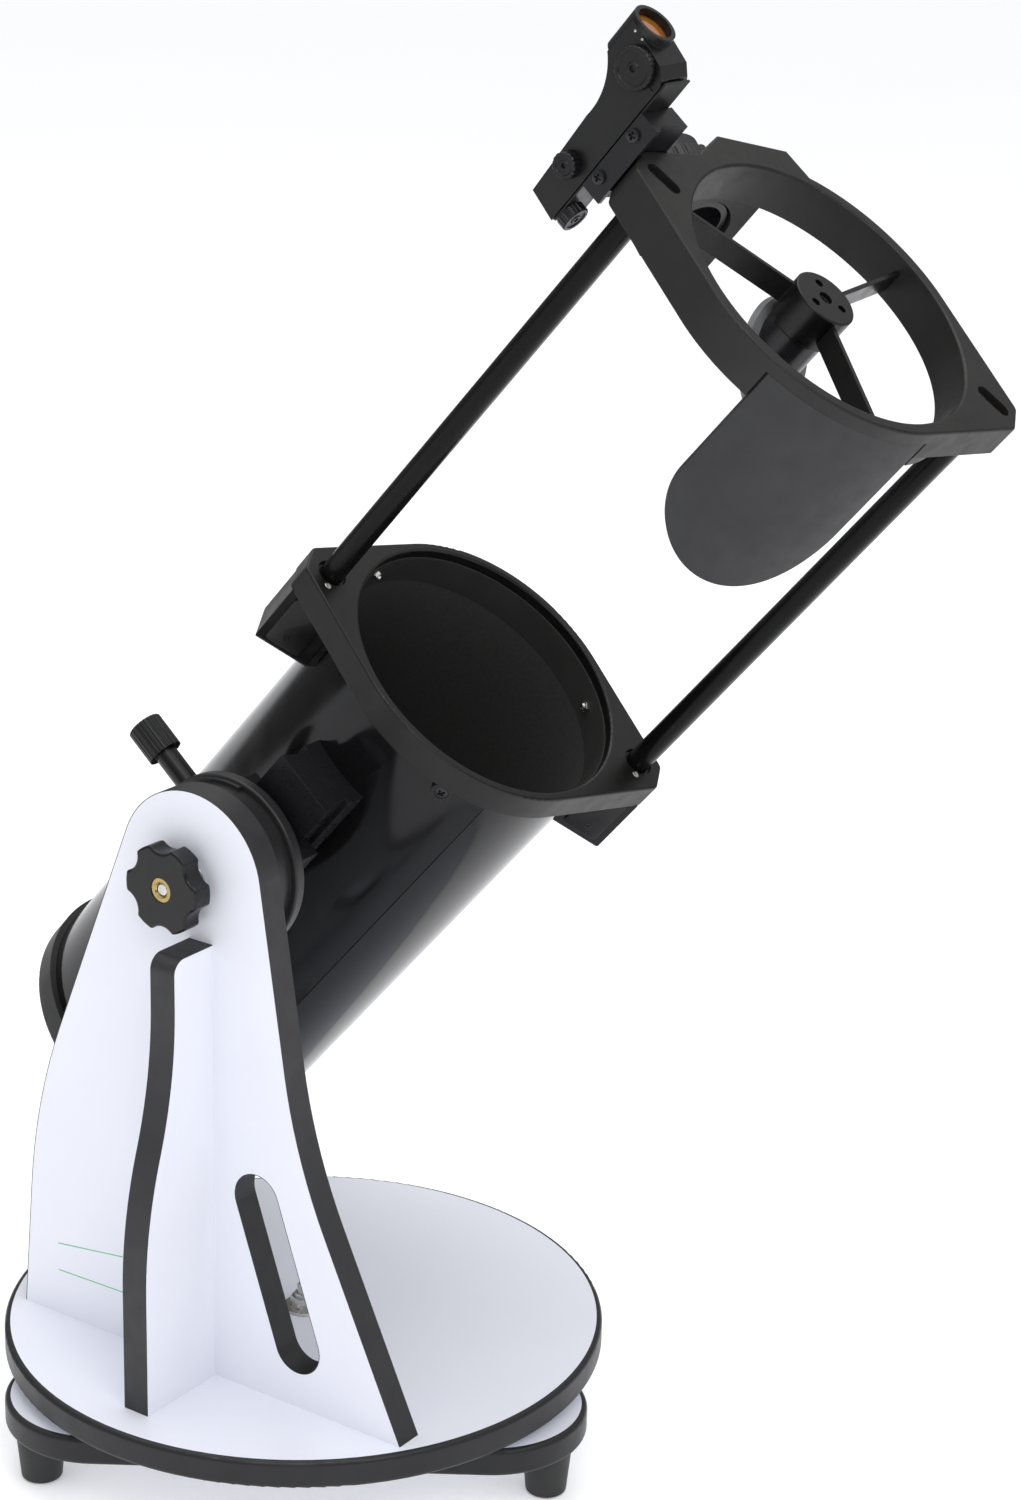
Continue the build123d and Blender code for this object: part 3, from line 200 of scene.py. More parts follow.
def plastic(name, colour, rough, grain_mm=0.35, grain_depth=0.02, edge_mm=0.5, shine=0.36, patch=0.12):
    """Moulded plastic: fine even grain, slow changes of tone and sheen, edges that catch the light."""
    g = Graph(name)
    tone = g.spread(g.noise(34, 2), 1 - patch, 1 + patch)
    speck = g.spread(g.noise(grain_mm * 1.6, 2), 0.94, 1.06)
    sheen = g.spread(g.noise(11, 4), rough - 0.05, rough + 0.06)
    g.bump([(g.noise(60, 1), 0.12), (g.noise(grain_mm, 3, 0.7), grain_depth)], edge_mm)
    return g.settle(
        Base_Color=g.scaled(g.scaled(linear(*colour), tone), speck),
        Roughness=sheen,
        Specular_IOR_Level=shine,
    )


def metal(name, colour, rough, line_dir, line_mm=0.25, line_depth=0.006, edge_mm=0.25):
    """Bright turned or brushed metal, with fine lines across line_dir and slight dulling."""
    g = Graph(name)
    along = g.vector("DOT_PRODUCT", g.place, tuple(line_dir))
    lines = g.node("TexNoise", noise_dimensions="1D")
    g.link(along, lines.inputs["W"])
    lines.inputs["Scale"].default_value = 1 / (line_mm * MM)
    dull = g.spread(g.noise(5, 4), 0.86, 1.06)
    g.bump([(lines.outputs["Fac"], line_depth)], edge_mm)
    return g.settle(
        Base_Color=g.scaled(linear(*colour), dull),
        Metallic=1.0,
        Roughness=g.spread(g.noise(7, 3), rough - 0.05, rough + 0.08),
    )


def facing(name):
    """White melamine facing's graph and colour: a faint orange peel, hardly any change of tone."""
    g = Graph(name)
    tone = g.spread(g.noise(120, 2), 0.985, 1.01)
    fleck = g.spread(g.noise(0.9, 3), 0.992, 1.006)
    g.bump([(g.noise(1.3, 2), 0.006), (g.noise(0.3, 2), 0.003)], 0.25)
    g.settle(Roughness=g.spread(g.noise(25, 3), 0.36, 0.46), Specular_IOR_Level=0.42)
    return g, g.scaled(g.scaled(linear(229, 231, 239), tone), fleck)


def laminate():
    g, white = facing("white_laminate")
    return g.settle(Base_Color=white)


STRIPES = ((118.0, 121.7, -0.135), (118.0, 103.1, -0.026))    # y, height there and slope
STRIPE_HALF = 0.4
STRIPE_Y = (63.8, 117.8)
STRIPE_SKIN = 0.2              # how far under the outer face a point still counts as on it


def arm_laminate():
    """The arm's facing, with two plain green lines on its outer face."""
    g, white = facing("white_laminate_lined")
    split = g.node("SeparateXYZ")
    g.link(g.place, split.inputs[0])
    x, y, z = split.outputs
    on_face = g.math("LESS_THAN", x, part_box("side_panel")[0].x + STRIPE_SKIN * MM)
    inside = g.math(
        "MULTIPLY",
        g.math("GREATER_THAN", y, STRIPE_Y[0] * MM),
        g.math("LESS_THAN", y, STRIPE_Y[1] * MM),
    )
    line = 0.0
    for start, height, slope in STRIPES:
        level = g.math("MULTIPLY_ADD", y, slope, (height - slope * start) * MM)
        row = g.math("COMPARE", z, level, STRIPE_HALF * MM)
        line = g.math("ADD", row, line)
    mask = g.math("MULTIPLY", g.math("MULTIPLY", line, inside), on_face)
    return g.settle(Base_Color=g.mix(mask, white, linear(96, 186, 122)))


def banding():
    """Textured black strip on the boards' edges."""
    g = Graph("edge_banding")
    tone = g.spread(g.noise(18, 3), 0.86, 1.12)
    pebble = g.noise(0.75, 3, 0.6)
    g.bump([(pebble, 0.05), (g.noise(30, 2), 0.08)], 0.3)
    return g.settle(
        Base_Color=g.scaled(linear(38, 38, 40), g.math("MULTIPLY", tone, g.spread(pebble, 0.9, 1.12))),
        Roughness=g.spread(g.noise(9, 3), 0.46, 0.6),
    )


def bullnose():
    """Soft vinyl edging round the boards, faintly rippled along its length."""
    g = Graph("bullnose_edging")
    tone = g.spread(g.noise(40, 3), 0.88, 1.1)
    ripple = g.noise(9, 3, stretch=(1, 1, 0.25))
    g.bump([(ripple, 0.05), (g.noise(0.4, 3), 0.01)])
    return g.settle(
        Base_Color=g.scaled(linear(28, 28, 30), tone),
        Roughness=g.spread(g.noise(14, 3), 0.36, 0.48),
        Specular_IOR_Level=0.36,
    )


TUBE_INNER = 90.4              # everything inside this radius is the tube's matt inner face


def enamel_tube():
    """Gloss black enamel outside, matt black inside."""
    g = Graph("black_enamel_tube")
    across = g.vector("SUBTRACT", g.place, tuple(CENTRE))
    off_axis = g.vector("CROSS_PRODUCT", across, tuple(AXIS))
    radius = g.vector("LENGTH", off_axis)
    inner = g.math("LESS_THAN", radius, TUBE_INNER * MM)
    tone = g.spread(g.noise(30, 3), 0.9, 1.1)
    peel = g.noise(5.5, 2)
    g.bump([(g.noise(70, 1), 0.22), (peel, 0.008)])
    black = g.scaled(linear(12, 12, 13), tone)
    matt = g.scaled(linear(60, 60, 59), g.spread(g.noise(2.0, 4), 0.9, 1.1))
    gloss = g.spread(g.noise(24, 3), 0.10, 0.15)
    return g.settle(
        Base_Color=g.mix(inner, black, matt),
        Roughness=g.math("MAXIMUM", gloss, g.math("MULTIPLY", inner, 0.9)),
        Specular_IOR_Level=g.spread(inner, 1.0, 0.12, 0, 1),
        Specular_Tint=(0.22, 0.22, 0.225, 1),
    )


def enamel_rod():
    g = Graph("black_enamel_rod")
    tone = g.spread(g.noise(25, 3), 0.88, 1.12)
    g.bump([(g.noise(3.0, 2), 0.006)], 0.3)
    return g.settle(
        Base_Color=g.scaled(linear(13, 13, 13), tone),
        Roughness=g.spread(g.noise(15, 3), 0.2, 0.3),
        Specular_IOR_Level=0.8,
        Specular_Tint=(0.12, 0.12, 0.12, 1),
    )


COATED_ABOVE = 0.9             # cosine of the slant within which a face is the coated one


def mirror_glass(name, normal_dir):
    """Aluminised on the face towards normal_dir, ground grey glass on its back and edge."""
    g = Graph(name)
    normal = g.node("NewGeometry").outputs["Normal"]
    object_normal = g.node("VectorTransform", vector_type="NORMAL", convert_from="WORLD", convert_to="OBJECT")
    g.link(normal, object_normal.inputs[0])
    along = g.vector("DOT_PRODUCT", object_normal.outputs[0], tuple(normal_dir))
    coated = g.math("GREATER_THAN", along, COATED_ABOVE)
    ground = g.scaled(linear(122, 125, 124), g.spread(g.noise(6, 4), 0.9, 1.08))
    return g.settle(
        Base_Color=g.mix(coated, ground, linear(240, 243, 245)),
        Metallic=coated,
        Roughness=g.spread(coated, 0.42, 0.025, 0, 1),
    )


def coated_lens():
    """Finder window: amber glass whose colour turns olive at a slant as a painted reflection, with a faint
    painted amber glow.
    """
    g = Graph("amber_lens")
    slant = g.node("LayerWeight")
    slant.inputs["Blend"].default_value = 0.45
    # painted reflection: the base colour shifts from amber to olive with the viewing angle
    amber_and_painted_reflection = g.mix(slant.outputs["Facing"], linear(196, 104, 22), linear(92, 84, 30))
    g.bump([(g.noise(12, 1), 0.02)])
    return g.settle(
        Base_Color=g.scaled(amber_and_painted_reflection, g.spread(g.noise(6, 2), 0.8, 1.15)),
        Roughness=0.06,
        Transmission_Weight=0.3,
        # painted glow: the window gives off a faint amber light though it is no lamp
        Emission_Color=linear(196, 110, 30),
        Emission_Strength=0.1,
        Coat_Weight=1.0,
        Coat_Roughness=0.02,
    )


def lamp_red():
    g = Graph("lamp_red")
    g.bump([(g.noise(2, 2), 0.01)])
    return g.settle(
        Base_Color=g.scaled(linear(120, 16, 14), g.spread(g.noise(3, 2), 0.85, 1.15)),
        Roughness=0.18,
        Coat_Weight=0.6,
    )


RING = plastic("satin_ring_plastic", (28, 26, 25), 0.47, 0.45, 0.03, 0.7)
COLLAR = plastic("collar_plastic", (12, 11, 10), 0.40, 0.45, 0.02, 0.7)
HUB = plastic("hub_plastic", (10, 9, 8), 0.30, 0.5, 0.012, 0.6)
BAFFLE = plastic("baffle_plastic", (43, 43, 44), 0.58, 0.5, 0.025, 0.3)
CELL = plastic("mirror_cell_plastic", (30, 30, 30), 0.45, 0.4, 0.025, 0.6)
BEARING = plastic("bearing_plastic", (34, 34, 35), 0.38, 0.4, 0.018, 0.5)
KNOB = plastic("knob_plastic", (12, 12, 14), 0.30, 0.4, 0.01, 0.6)
FINDER = plastic("finder_plastic", (17, 17, 17), 0.33, 0.35, 0.012, 0.6)
BRACKET = plastic("bracket_plastic", (16, 16, 20), 0.36, 0.35, 0.012, 0.5)
FOCUSER = plastic("focuser_plastic", (28, 28, 28), 0.35, 0.35, 0.015, 0.5)
RUBBER = plastic("foot_rubber", (44, 44, 44), 0.50, 0.6, 0.03, 0.6)
GLIDE = plastic("glide_plastic", (60, 60, 58), 0.45)
LINER = plastic("collar_liner_plastic", (45, 45, 44), 0.7, 0.5, 0.01, 0.0, 0.15)
ANODISED = plastic("black_anodised", (24, 24, 27), 0.27, 0.25, 0.008, 0.4)
ZINC = metal("zinc_plate", (205, 204, 200), 0.26, (0.31, 0.62, 0.72))
CHROME = metal("chrome_plate", (222, 222, 224), 0.14, (1, 0, 0), 0.4, 0.003)
BRASS = metal("machined_brass", (176, 156, 104), 0.24, (1, 0, 0), 0.35, 0.008)
BLACK_SCREW = plastic("black_oxide", (30, 30, 32), 0.26, 0.3, 0.006, 0.25)
SPRING = metal("spring_wire", (190, 190, 192), 0.3, AXIS)
WHITE = laminate()
LINED = arm_laminate()
BANDING = banding()
BULLNOSE = bullnose()
TUBE = enamel_tube()
ROD = enamel_rod()
LENS = coated_lens()
LAMP = lamp_red()
MAIN_MIRROR = mirror_glass("main_mirror_glass", AXIS)
FLAT_MIRROR = mirror_glass("diagonal_mirror_glass", (RAY - AXIS).normalized())

MATERIALS = {
    "ground_board": WHITE,
    "turntable_board": WHITE,
    "side_panel": LINED,
    "brace_panel": WHITE,
    "ground_board_edging": BULLNOSE,
    "turntable_edging": BULLNOSE,
    "side_panel_banding": BANDING,
    "brace_banding": BANDING,
    "feet": RUBBER,
    "azimuth_glides": GLIDE,
    "foot_screws": ZINC,
    "pivot_bolt": ZINC,
    "pivot_nut": ZINC,
    "board_screws": ZINC,
    "arm_bush": ANODISED,
    "bearing_plate": BEARING,
    "friction_pad": GLIDE,
    "altitude_disc": BEARING,
    "altitude_bolt": ZINC,
    "knob_washer": CHROME,
    "altitude_knob": KNOB,
    "knob_insert": BRASS,
    "dovetail_bar": ANODISED,
    "saddle": ANODISED,
    "clamp_screw": KNOB,
    "tube": TUBE,
    "front_collar": COLLAR,
    "rod_bushes": COLLAR,
    "stop_screws": ZINC,
    "collar_screws": BLACK_SCREW,
    "housing_covers": COLLAR,
    "rear_cell": CELL,
    "mirror_cell": ANODISED,
    "mirror_pads": RUBBER,
    "primary_mirror": MAIN_MIRROR,
    "mirror_clips": CELL,
    "collimation_screws": BLACK_SCREW,
    "collimation_springs": SPRING,
    "lock_screws": BLACK_SCREW,
    "truss_rods": ROD,
    "upper_ring": RING,
    "rod_screws": BLACK_SCREW,
    "baffle": BAFFLE,
    "spider": HUB,
    "secondary_screws": BLACK_SCREW,
    "secondary_holder": ANODISED,
    "secondary_mirror": FLAT_MIRROR,
    "focuser_base": FOCUSER,
    "focus_ring": FOCUSER,
    "drawtube": ANODISED,
    "eyepiece_screw": BLACK_SCREW,
    "finder_bracket": BRACKET,
    "bracket_screws": BLACK_SCREW,
    "finder_yoke": FINDER,
    "finder_body": FINDER,
    "finder_window": LENS,
    "finder_lamp": LAMP,
    "finder_switch": FINDER,
    "finder_side_knob": BRACKET,
    "finder_under_knob": BRACKET,
}
for node_name, node in nodes.items():
    node.data.materials.clear()
    node.data.materials.append(MATERIALS[node_name])


# ---------------------------------------------------------------- pieces in mesh code
def piece(name, parts, body, material, replaced=(), sharp=32):
    """One object made of (vertices, faces, matrix) parts given in millimetres, riding on a body."""
    vertices, faces = [], []
    for part_vertices, part_faces, matrix in parts:
        start = len(vertices)
        vertices += [matrix @ (Vector(v) * MM) for v in part_vertices]
        faces += [[start + i for i in face] for face in part_faces]
    mesh = bpy.data.meshes.new(name)
    mesh.from_pydata(vertices, [], faces)
    mesh.validate()
    mesh.shade_smooth()
    mesh.set_sharp_from_angle(angle=math.radians(sharp))
    mesh.materials.append(material)
    made = bpy.data.objects.new(name, mesh)
    bpy.context.scene.collection.objects.link(made)
    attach(made, body)
    if replaced:
        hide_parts(*replaced)
    return made


def rings(grid, closed_ends=True):
    """Faces that join rows of points of equal length, each row a closed loop."""
    vertices = [point for row in grid for point in row]
    count = len(grid[0])
    faces = []
    for i in range(len(grid) - 1):
        for j in range(count):
            k = (j + 1) % count
            faces.append((i * count + j, i * count + k, (i + 1) * count + k, (i + 1) * count + j))
    if closed_ends:
        faces.append(tuple(reversed(range(count))))
        faces.append(tuple(range(len(vertices) - count, len(vertices))))
    return vertices, faces


def lathe(profile, steps=72, ripple=None):
    """Solid turned from (radius, height) pairs. ripple(angle, radius, height) changes the radius."""
    grid = []
    for radius, height in profile:
        row = []
        for i in range(steps):
            angle = 2 * math.pi * i / steps
            r = ripple(angle, radius, height) if ripple else radius
            row.append((r * math.cos(angle), r * math.sin(angle), height))
        grid.append(row)
    return rings(grid)


def ring_lathe(profile, steps=96):
    """Ring turned from a closed outline of (radius, height) pairs."""
    vertices, faces = [], []
    count = len(profile)
    for i in range(steps):
        angle = 2 * math.pi * i / steps
        vertices += [(r * math.cos(angle), r * math.sin(angle), h) for r, h in profile]
        after = (i + 1) % steps
        for j in range(count):
            k = (j + 1) % count
            faces.append((i * count + j, after * count + j, after * count + k, i * count + k))
    return vertices, faces


def smooth(value, low, high):
    t = max(0.0, min(1.0, (value - low) / (high - low)))
    return t * t * (3 - 2 * t)


def cross_recess(x, y, radius):
    """1 inside a cross-head recess and 0 outside it."""
    length, width, soft = 0.56 * radius, 0.15 * radius, 0.06 * radius
    deep = 0.0
    for a, b in ((abs(x), abs(y)), (abs(y), abs(x))):
        along = 1 - smooth(a, length - soft, length + soft)
        across = 1 - smooth(b, width - soft, width + soft)
        deep = max(deep, along * across)
    return deep


def hex_recess(x, y, radius):
    """1 inside a hexagon socket and 0 outside it."""
    reach = max(abs(x * math.cos(a) + y * math.sin(a)) for a in (0, math.pi / 3, 2 * math.pi / 3))
    return 1 - smooth(reach, 0.44 * radius, 0.5 * radius)


def screw_head(radius, height, dome, depth, recess, steps=72, loops=20):
    """Screw head with a domed top and a driving recess, standing on its base plane."""
    grid = [[(radius * math.cos(a), radius * math.sin(a), 0.0) for a in angles(steps)]]
    edge = 0.12 * radius
    grid.append([(radius * math.cos(a), radius * math.sin(a), height - edge) for a in angles(steps)])
    for i in range(loops, -1, -1):
        share = i / loops
        r = max(share * (radius - 0.3 * edge), 0.004 * radius)
        row = []
        for a in angles(steps):
            x, y = r * math.cos(a), r * math.sin(a)
            z = height + dome * (1 - share * share) - depth * recess(x, y, radius)
            row.append((x, y, z))
        grid.append(row)
    return rings(grid)


def angles(steps):
    return [2 * math.pi * i / steps for i in range(steps)]


def prism(outline, low, high, soft):
    """Solid over an outline of (x, y) points, its top edge eased by soft."""
    cx = sum(p[0] for p in outline) / len(outline)
    cy = sum(p[1] for p in outline) / len(outline)

    def shrunk(amount):
        row = []
        for x, y in outline:
            away = math.hypot(x - cx, y - cy)
            k = 1 - amount / away
            row.append((cx + (x - cx) * k, cy + (y - cy) * k))
        return row

    rows = [(0, low), (0, high - soft), (0.3 * soft, high - 0.3 * soft), (soft, high)]
    grid = [[(x, y, z) for x, y in shrunk(inset)] for inset, z in rows]
    return rings(grid)


def rounded_box(length, width, radius, steps=6):
    """Outline of a rectangle with round corners, centred on the origin."""
    outline = []
    for corner, (sx, sy) in enumerate(((1, 1), (-1, 1), (-1, -1), (1, -1))):
        for i in range(steps + 1):
            a = math.radians(90 * (corner + i / steps))
            x = sx * (length / 2 - radius) + radius * math.cos(a)
            y = sy * (width / 2 - radius) + radius * math.sin(a)
            outline.append((x, y))
    return outline


def spring(radius, wire, length, turns, steps=14, sides=8):
    """Helical spring that stands on its base plane."""
    grid = []
    total = int(turns * steps * 2)
    for i in range(total + 1):
        turn = 2 * math.pi * turns * i / total
        middle_z = wire + (length - 2 * wire) * i / total
        out = Vector((math.cos(turn), math.sin(turn), 0))
        row = []
        for a in angles(sides):
            point = out * (radius + wire * math.cos(a)) + Vector((0, 0, middle_z + wire * math.sin(a)))
            row.append(tuple(point))
        grid.append(row)
    return rings(grid)


# tube and collar hardware
COLLAR_S = 117.4
COLLAR_SCREW_OUT = 94.4
COLLAR_SCREW_ANGLES = (-146.8, -26.8, 93.2)
screw = screw_head(4.1, 1.9, 0.8, 1.7, cross_recess)
piece(
    "collar_screw_heads",
    [
        (*screw, basis(around(a, COLLAR_SCREW_OUT, COLLAR_S), radial(a), AXIS + radial(a + 90) * 0.7))
        for a in COLLAR_SCREW_ANGLES
    ],
    "optical_tube", BLACK_SCREW, ["collar_screws"],
)

ROD_ANGLES = (-56.0, 124.0)
ROD_OUT = 111.4
EAR_ANGLES = (-57.0, 123.0)
STOP_S, STOP_ASIDE = 131.4, 12.2
stop = screw_head(2.25, 8.0, 0.45, 0.9, cross_recess, 48, 14)
stop_parts = []
for rod in ROD_ANGLES:
    spot = around(rod, ROD_OUT, STOP_S) + radial(EAR_ANGLES[0] + 270) * STOP_ASIDE * MM
    stop_parts.append((*stop, basis(spot, AXIS, radial(rod + 20))))
piece("stop_screw_heads", stop_parts, "optical_tube", ZINC, ["stop_screws"])

COVER_S, COVER_OUT, COVER_ASIDE = 100.2, 109, 13.85
cover = prism(rounded_box(37.4, 24, 3), -0.8, 0.8, 0.35)
dimple = screw_head(1.9, 0.5, 0.1, 0.9, hex_recess, 36, 10)
cover_parts, dimple_parts = [], []
for angle in EAR_ANGLES:
    flip = 1 if angle > 0 else -1
    out = radial(angle)
    sideways = radial(angle + 90) * flip
    centre = at(0, 0, COVER_S) + out * COVER_OUT * MM + sideways * COVER_ASIDE * MM
    cover_parts.append((*cover, basis(centre, sideways, AXIS)))
    spot = centre - AXIS * 10.6 * MM + out * 2 * MM + sideways * 0.55 * MM
    dimple_parts.append((*dimple, basis(spot, sideways, AXIS)))
piece("housing_cover_plates", cover_parts, "optical_tube", COLLAR, ["housing_covers"])
piece("housing_cover_screws", dimple_parts, "optical_tube", BLACK_SCREW)

LINER_S = 111.5
liner = ring_lathe([(89.75, 0), (89.75, 21), (89.5, 21.2), (89.35, 21), (89.35, 0.2), (89.5, 0)])
piece(
    "collar_liner",
    [(*liner, basis(at(0, 0, LINER_S), AXIS, SIDE))],
    "optical_tube", LINER,
)

nut = prism([(3.6 * math.cos(a), 3.6 * math.sin(a)) for a in angles(6)], 0, 2.6, 0.5)
stud = lathe([(1.9, 0), (1.9, 3.6), (1.5, 4.0)], 20)
NUTS_AT = ((-146.8, 121), (-27.3, 121.8), (99, 127))    # angle and s
NUT_OUT = 89.3
nut_parts, stud_parts = [], []
for angle, s in NUTS_AT:
    place = basis(around(angle, NUT_OUT, s), -radial(angle), AXIS)
    nut_parts.append((*nut, place))
    stud_parts.append((*stud, place))
piece("collar_nuts", nut_parts + stud_parts, "optical_tube", ZINC)

# mirror end
spiral = spring(4.0, 0.6, 5.7, 3.5)
PUSH_ANGLES = (0, 120, 240)
PUSH_OUT = 60
PULL_STEP = 24                 # degrees from a push screw to its lock screw
COIL_S, PUSH_S, PULL_S, RIB_S, MARK_S = -246.8, -251.1, -251.2, -250.9, -215.9
piece(
    "collimation_coils",
    [(*spiral, basis(around(a, PUSH_OUT, COIL_S), AXIS, radial(a))) for a in PUSH_ANGLES],
    "optical_tube", SPRING, ["collimation_springs"],
)


def knurl(count, depth):
    """Radius change for a grip with that many grooves."""
    return lambda angle, radius, height: radius - depth * max(0.0, math.cos(count * angle)) ** 2


knob = lathe([(5.0, -6.3), (6.0, -5.6), (6.0, -0.8), (5.2, 0)], 144, knurl(18, 0.35))
shaft = lathe([(2.4, 0), (2.4, 14)], 24)
push_parts = []
for a in PUSH_ANGLES:
    place = basis(around(a, PUSH_OUT, PUSH_S), AXIS, radial(a))
    push_parts += [(*knob, place), (*shaft, place)]
piece("collimation_knobs", push_parts, "optical_tube", BLACK_SCREW, ["collimation_screws"])

pull = screw_head(3.6, 2.9, 0.8, 1.4, hex_recess, 54, 14)
pull_shaft = lathe([(2.1, 0), (2.1, 9.8)], 24)
pull_parts = []
for a in PUSH_ANGLES:
    spot = around(a + PULL_STEP, PUSH_OUT, PULL_S)
    pull_parts.append((*pull, basis(spot, -AXIS, radial(a))))
    pull_parts.append((*pull_shaft, basis(spot, AXIS, radial(a))))
piece("lock_screw_heads", pull_parts, "optical_tube", BLACK_SCREW, ["lock_screws"])

inner_rib = ring_lathe([(43.5, 0), (40.6, 0), (40.4, -1.4), (41, -1.8), (43, -1.8), (43.7, -1.4)])
piece(
    "rear_cell_ribs",
    [(*inner_rib, basis(at(0, 0, RIB_S), AXIS, SIDE))],
    "optical_tube", CELL,
)

spot_ring = ring_lathe([(3.2, 0), (5.2, 0), (5.2, 0.12), (3.2, 0.12)], 48)
piece(
    "mirror_centre_mark",
    [(*spot_ring, basis(at(0, 0, MARK_S), AXIS, SIDE))],
    "optical_tube", RUBBER,
)

# spider hub and ring hardware
RING_FACE = 473.3
HUB_SEAT = RING_FACE - 5
HUB_SCREW_OUT = 11
HUB_SCREW_ANGLES = (63, 183, 303)
hub_centre = screw_head(3.9, 3.0, 0.3, 1.6, hex_recess, 54, 14)
hub_small = screw_head(2.5, 3.0, 0.2, 1.4, hex_recess, 42, 12)
hub_parts = [(*hub_centre, basis(at(0, 0, HUB_SEAT), AXIS, SIDE))]
hub_shaft = lathe([(1.8, 0), (1.8, 18.6)], 20)
for a in HUB_SCREW_ANGLES:
    spot = around(a, HUB_SCREW_OUT, HUB_SEAT)
    hub_parts.append((*hub_small, basis(spot, AXIS, radial(a))))
    hub_parts.append((*hub_shaft, basis(spot, -AXIS, radial(a))))
piece("secondary_screw_heads", hub_parts, "truss", BLACK_SCREW, ["secondary_screws"])

rod_head = screw_head(3.4, 1.7, 0.7, 1.2, cross_recess, 54, 16)
rod_parts = []
ROD_SCREW_STEP = 6.2
slot_dir = radial(-75.5)
for rod in ROD_ANGLES:
    for step in (-ROD_SCREW_STEP, ROD_SCREW_STEP):
        spot = around(rod, ROD_OUT, RING_FACE) + slot_dir * step * MM
        rod_parts.append((*rod_head, basis(spot, AXIS, radial(rod + 15 * step))))
piece("rod_screw_heads", rod_parts, "truss", BLACK_SCREW, ["rod_screws"])

# finder hardware
FINDER_X = (middle("finder_body").x - CENTRE.x) / MM
FINDER_FACE = (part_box("finder_body")[0].x - CENTRE.x) / MM
bracket_head = screw_head(3.8, 1.7, 0.6, 1.6, cross_recess, 60, 18)
BRACKET_SCREWS_S = (453, 485)
BRACKET_UP, BRACKET_PROUD = 118, 2.05
bracket_parts = []
for s in BRACKET_SCREWS_S:
    spot = at(FINDER_FACE - BRACKET_PROUD, BRACKET_UP, s)
    bracket_parts.append((*bracket_head, basis(spot, -SIDE, AXIS + UP * 0.4)))
piece("bracket_screw_heads", bracket_parts, "truss", BLACK_SCREW, ["bracket_screws"])

lens = lathe([(10.4, 0), (10.4, 0.8), (9.0, 1.35), (7.0, 1.7), (4.5, 1.9), (2.0, 2.0), (0.05, 2.0)], 72)
piece(
    "finder_lens", [(*lens, basis(at(FINDER_X, 154.5, 524), AXIS, SIDE))],
    "finder", LENS, ["finder_window"],
)


def dial(radius, height, count, depth, rim, hole):
    """Knob with a grooved edge, a raised rim and a small socket in its middle."""
    profile = [
        (radius - 0.4, 0), (radius, 0.4), (radius, height - 0.6), (radius - 0.6, height),
        (radius * rim, height), (radius * rim - 0.5, height - 0.7), (hole + 1.6, height - 0.7),
        (hole + 1.1, height - 0.1), (hole, height - 0.1), (hole - 0.3, height - 1.6), (0.05, height - 1.6),
    ]

    def groove(angle, r, h):
        return r - depth * max(0.0, math.cos(count * angle)) ** 3 if r > radius - 0.5 else r

    return lathe(profile, count * 8, groove)


FACE = FINDER_FACE - 0.1
piece(
    "finder_switch_dial",
    [(*dial(12.0, 4.4, 24, 0.5, 0.8, 2.0), basis(at(FACE, 141.5, 511), -SIDE, AXIS))],
    "finder_switch", FINDER, ["finder_switch"],
)
piece(
    "finder_side_dial",
    [(*dial(7.5, 6.4, 16, 0.6, 0.72, 1.6), basis(at(FACE, 136.5, 443), -SIDE, AXIS))],
    "finder_side_knob", BRACKET, ["finder_side_knob"],
)
rivet = lathe([(0.8, 0), (0.8, 0.15), (0.5, 0.4), (0.05, 0.5)], 20)
RIVETS_AT = ((155.3, 524.2), (149.2, 524.0))
rivet_parts = [(*rivet, basis(at(FINDER_FACE, up, s), -SIDE, AXIS)) for up, s in RIVETS_AT]
piece("finder_rivets", rivet_parts, "finder", ZINC)
post = lathe([(2.5, 0), (2.5, 7.4)], 28)
UNDER_DIAL_AT = at(-62, 122.0, 420.5)
under_place = basis(UNDER_DIAL_AT, -UP, AXIS)
piece(
    "finder_under_dial",
    [(*dial(8.5, 6.4, 18, 0.6, 0.74, 1.7), under_place), (*post, basis(UNDER_DIAL_AT, UP, AXIS))],
    "finder_under_knob", BRACKET, ["finder_under_knob"],
)

# azimuth nut, seen through the slot in the arm
board_top = Vector((0, 0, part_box("turntable_board")[1].z))
NUT_BORE_TO, NUT_FLAT = 5.2, 8.0
washer = ring_lathe([(5.1, 0.1), (14, 0.1), (14.1, 0.9), (13.6, 1.8), (5.1, 1.8)], 72)


def nut_ripple(angle, radius, height):
    """Corners of a hexagon nut, cut off by its chamfers."""
    sector = (angle + math.pi / 6) % (math.pi / 3) - math.pi / 6
    flat = NUT_FLAT / math.cos(sector)
    return min(radius, flat) if radius > NUT_BORE_TO else radius


nut_profile = [
    (5.05, 1.85), (8.2, 1.85), (9.3, 2.6), (9.3, 7.8),
    (8.2, 8.6), (6.9, 8.7), (6.8, 10.3), (6.2, 10.8), (5.05, 10.8),
]
lock_nut = lathe(nut_profile, 144, nut_ripple)
upright = basis(board_top, Vector((0, 0, 1)), SIDE)
nut_turned = basis(board_top, Vector((0, 0, 1)), Vector((0.8, 0.6, 0)))
piece(
    "pivot_lock_nut", [(*washer, upright), (*lock_nut, nut_turned)],
    "ground_base", ZINC, ["pivot_nut"],
)

# ---------------------------------------------------------------- camera
CAMERA_AT = Vector((-1.4601, -1.1617, 1.0813))
AZIMUTH, ELEVATION, ROLL = (math.radians(v) for v in (-55.26, 18.72, 1.35))
LENS_MM, SENSOR_MM = 78.54, 36.0
NEAR, FAR = 0.05, 200.0

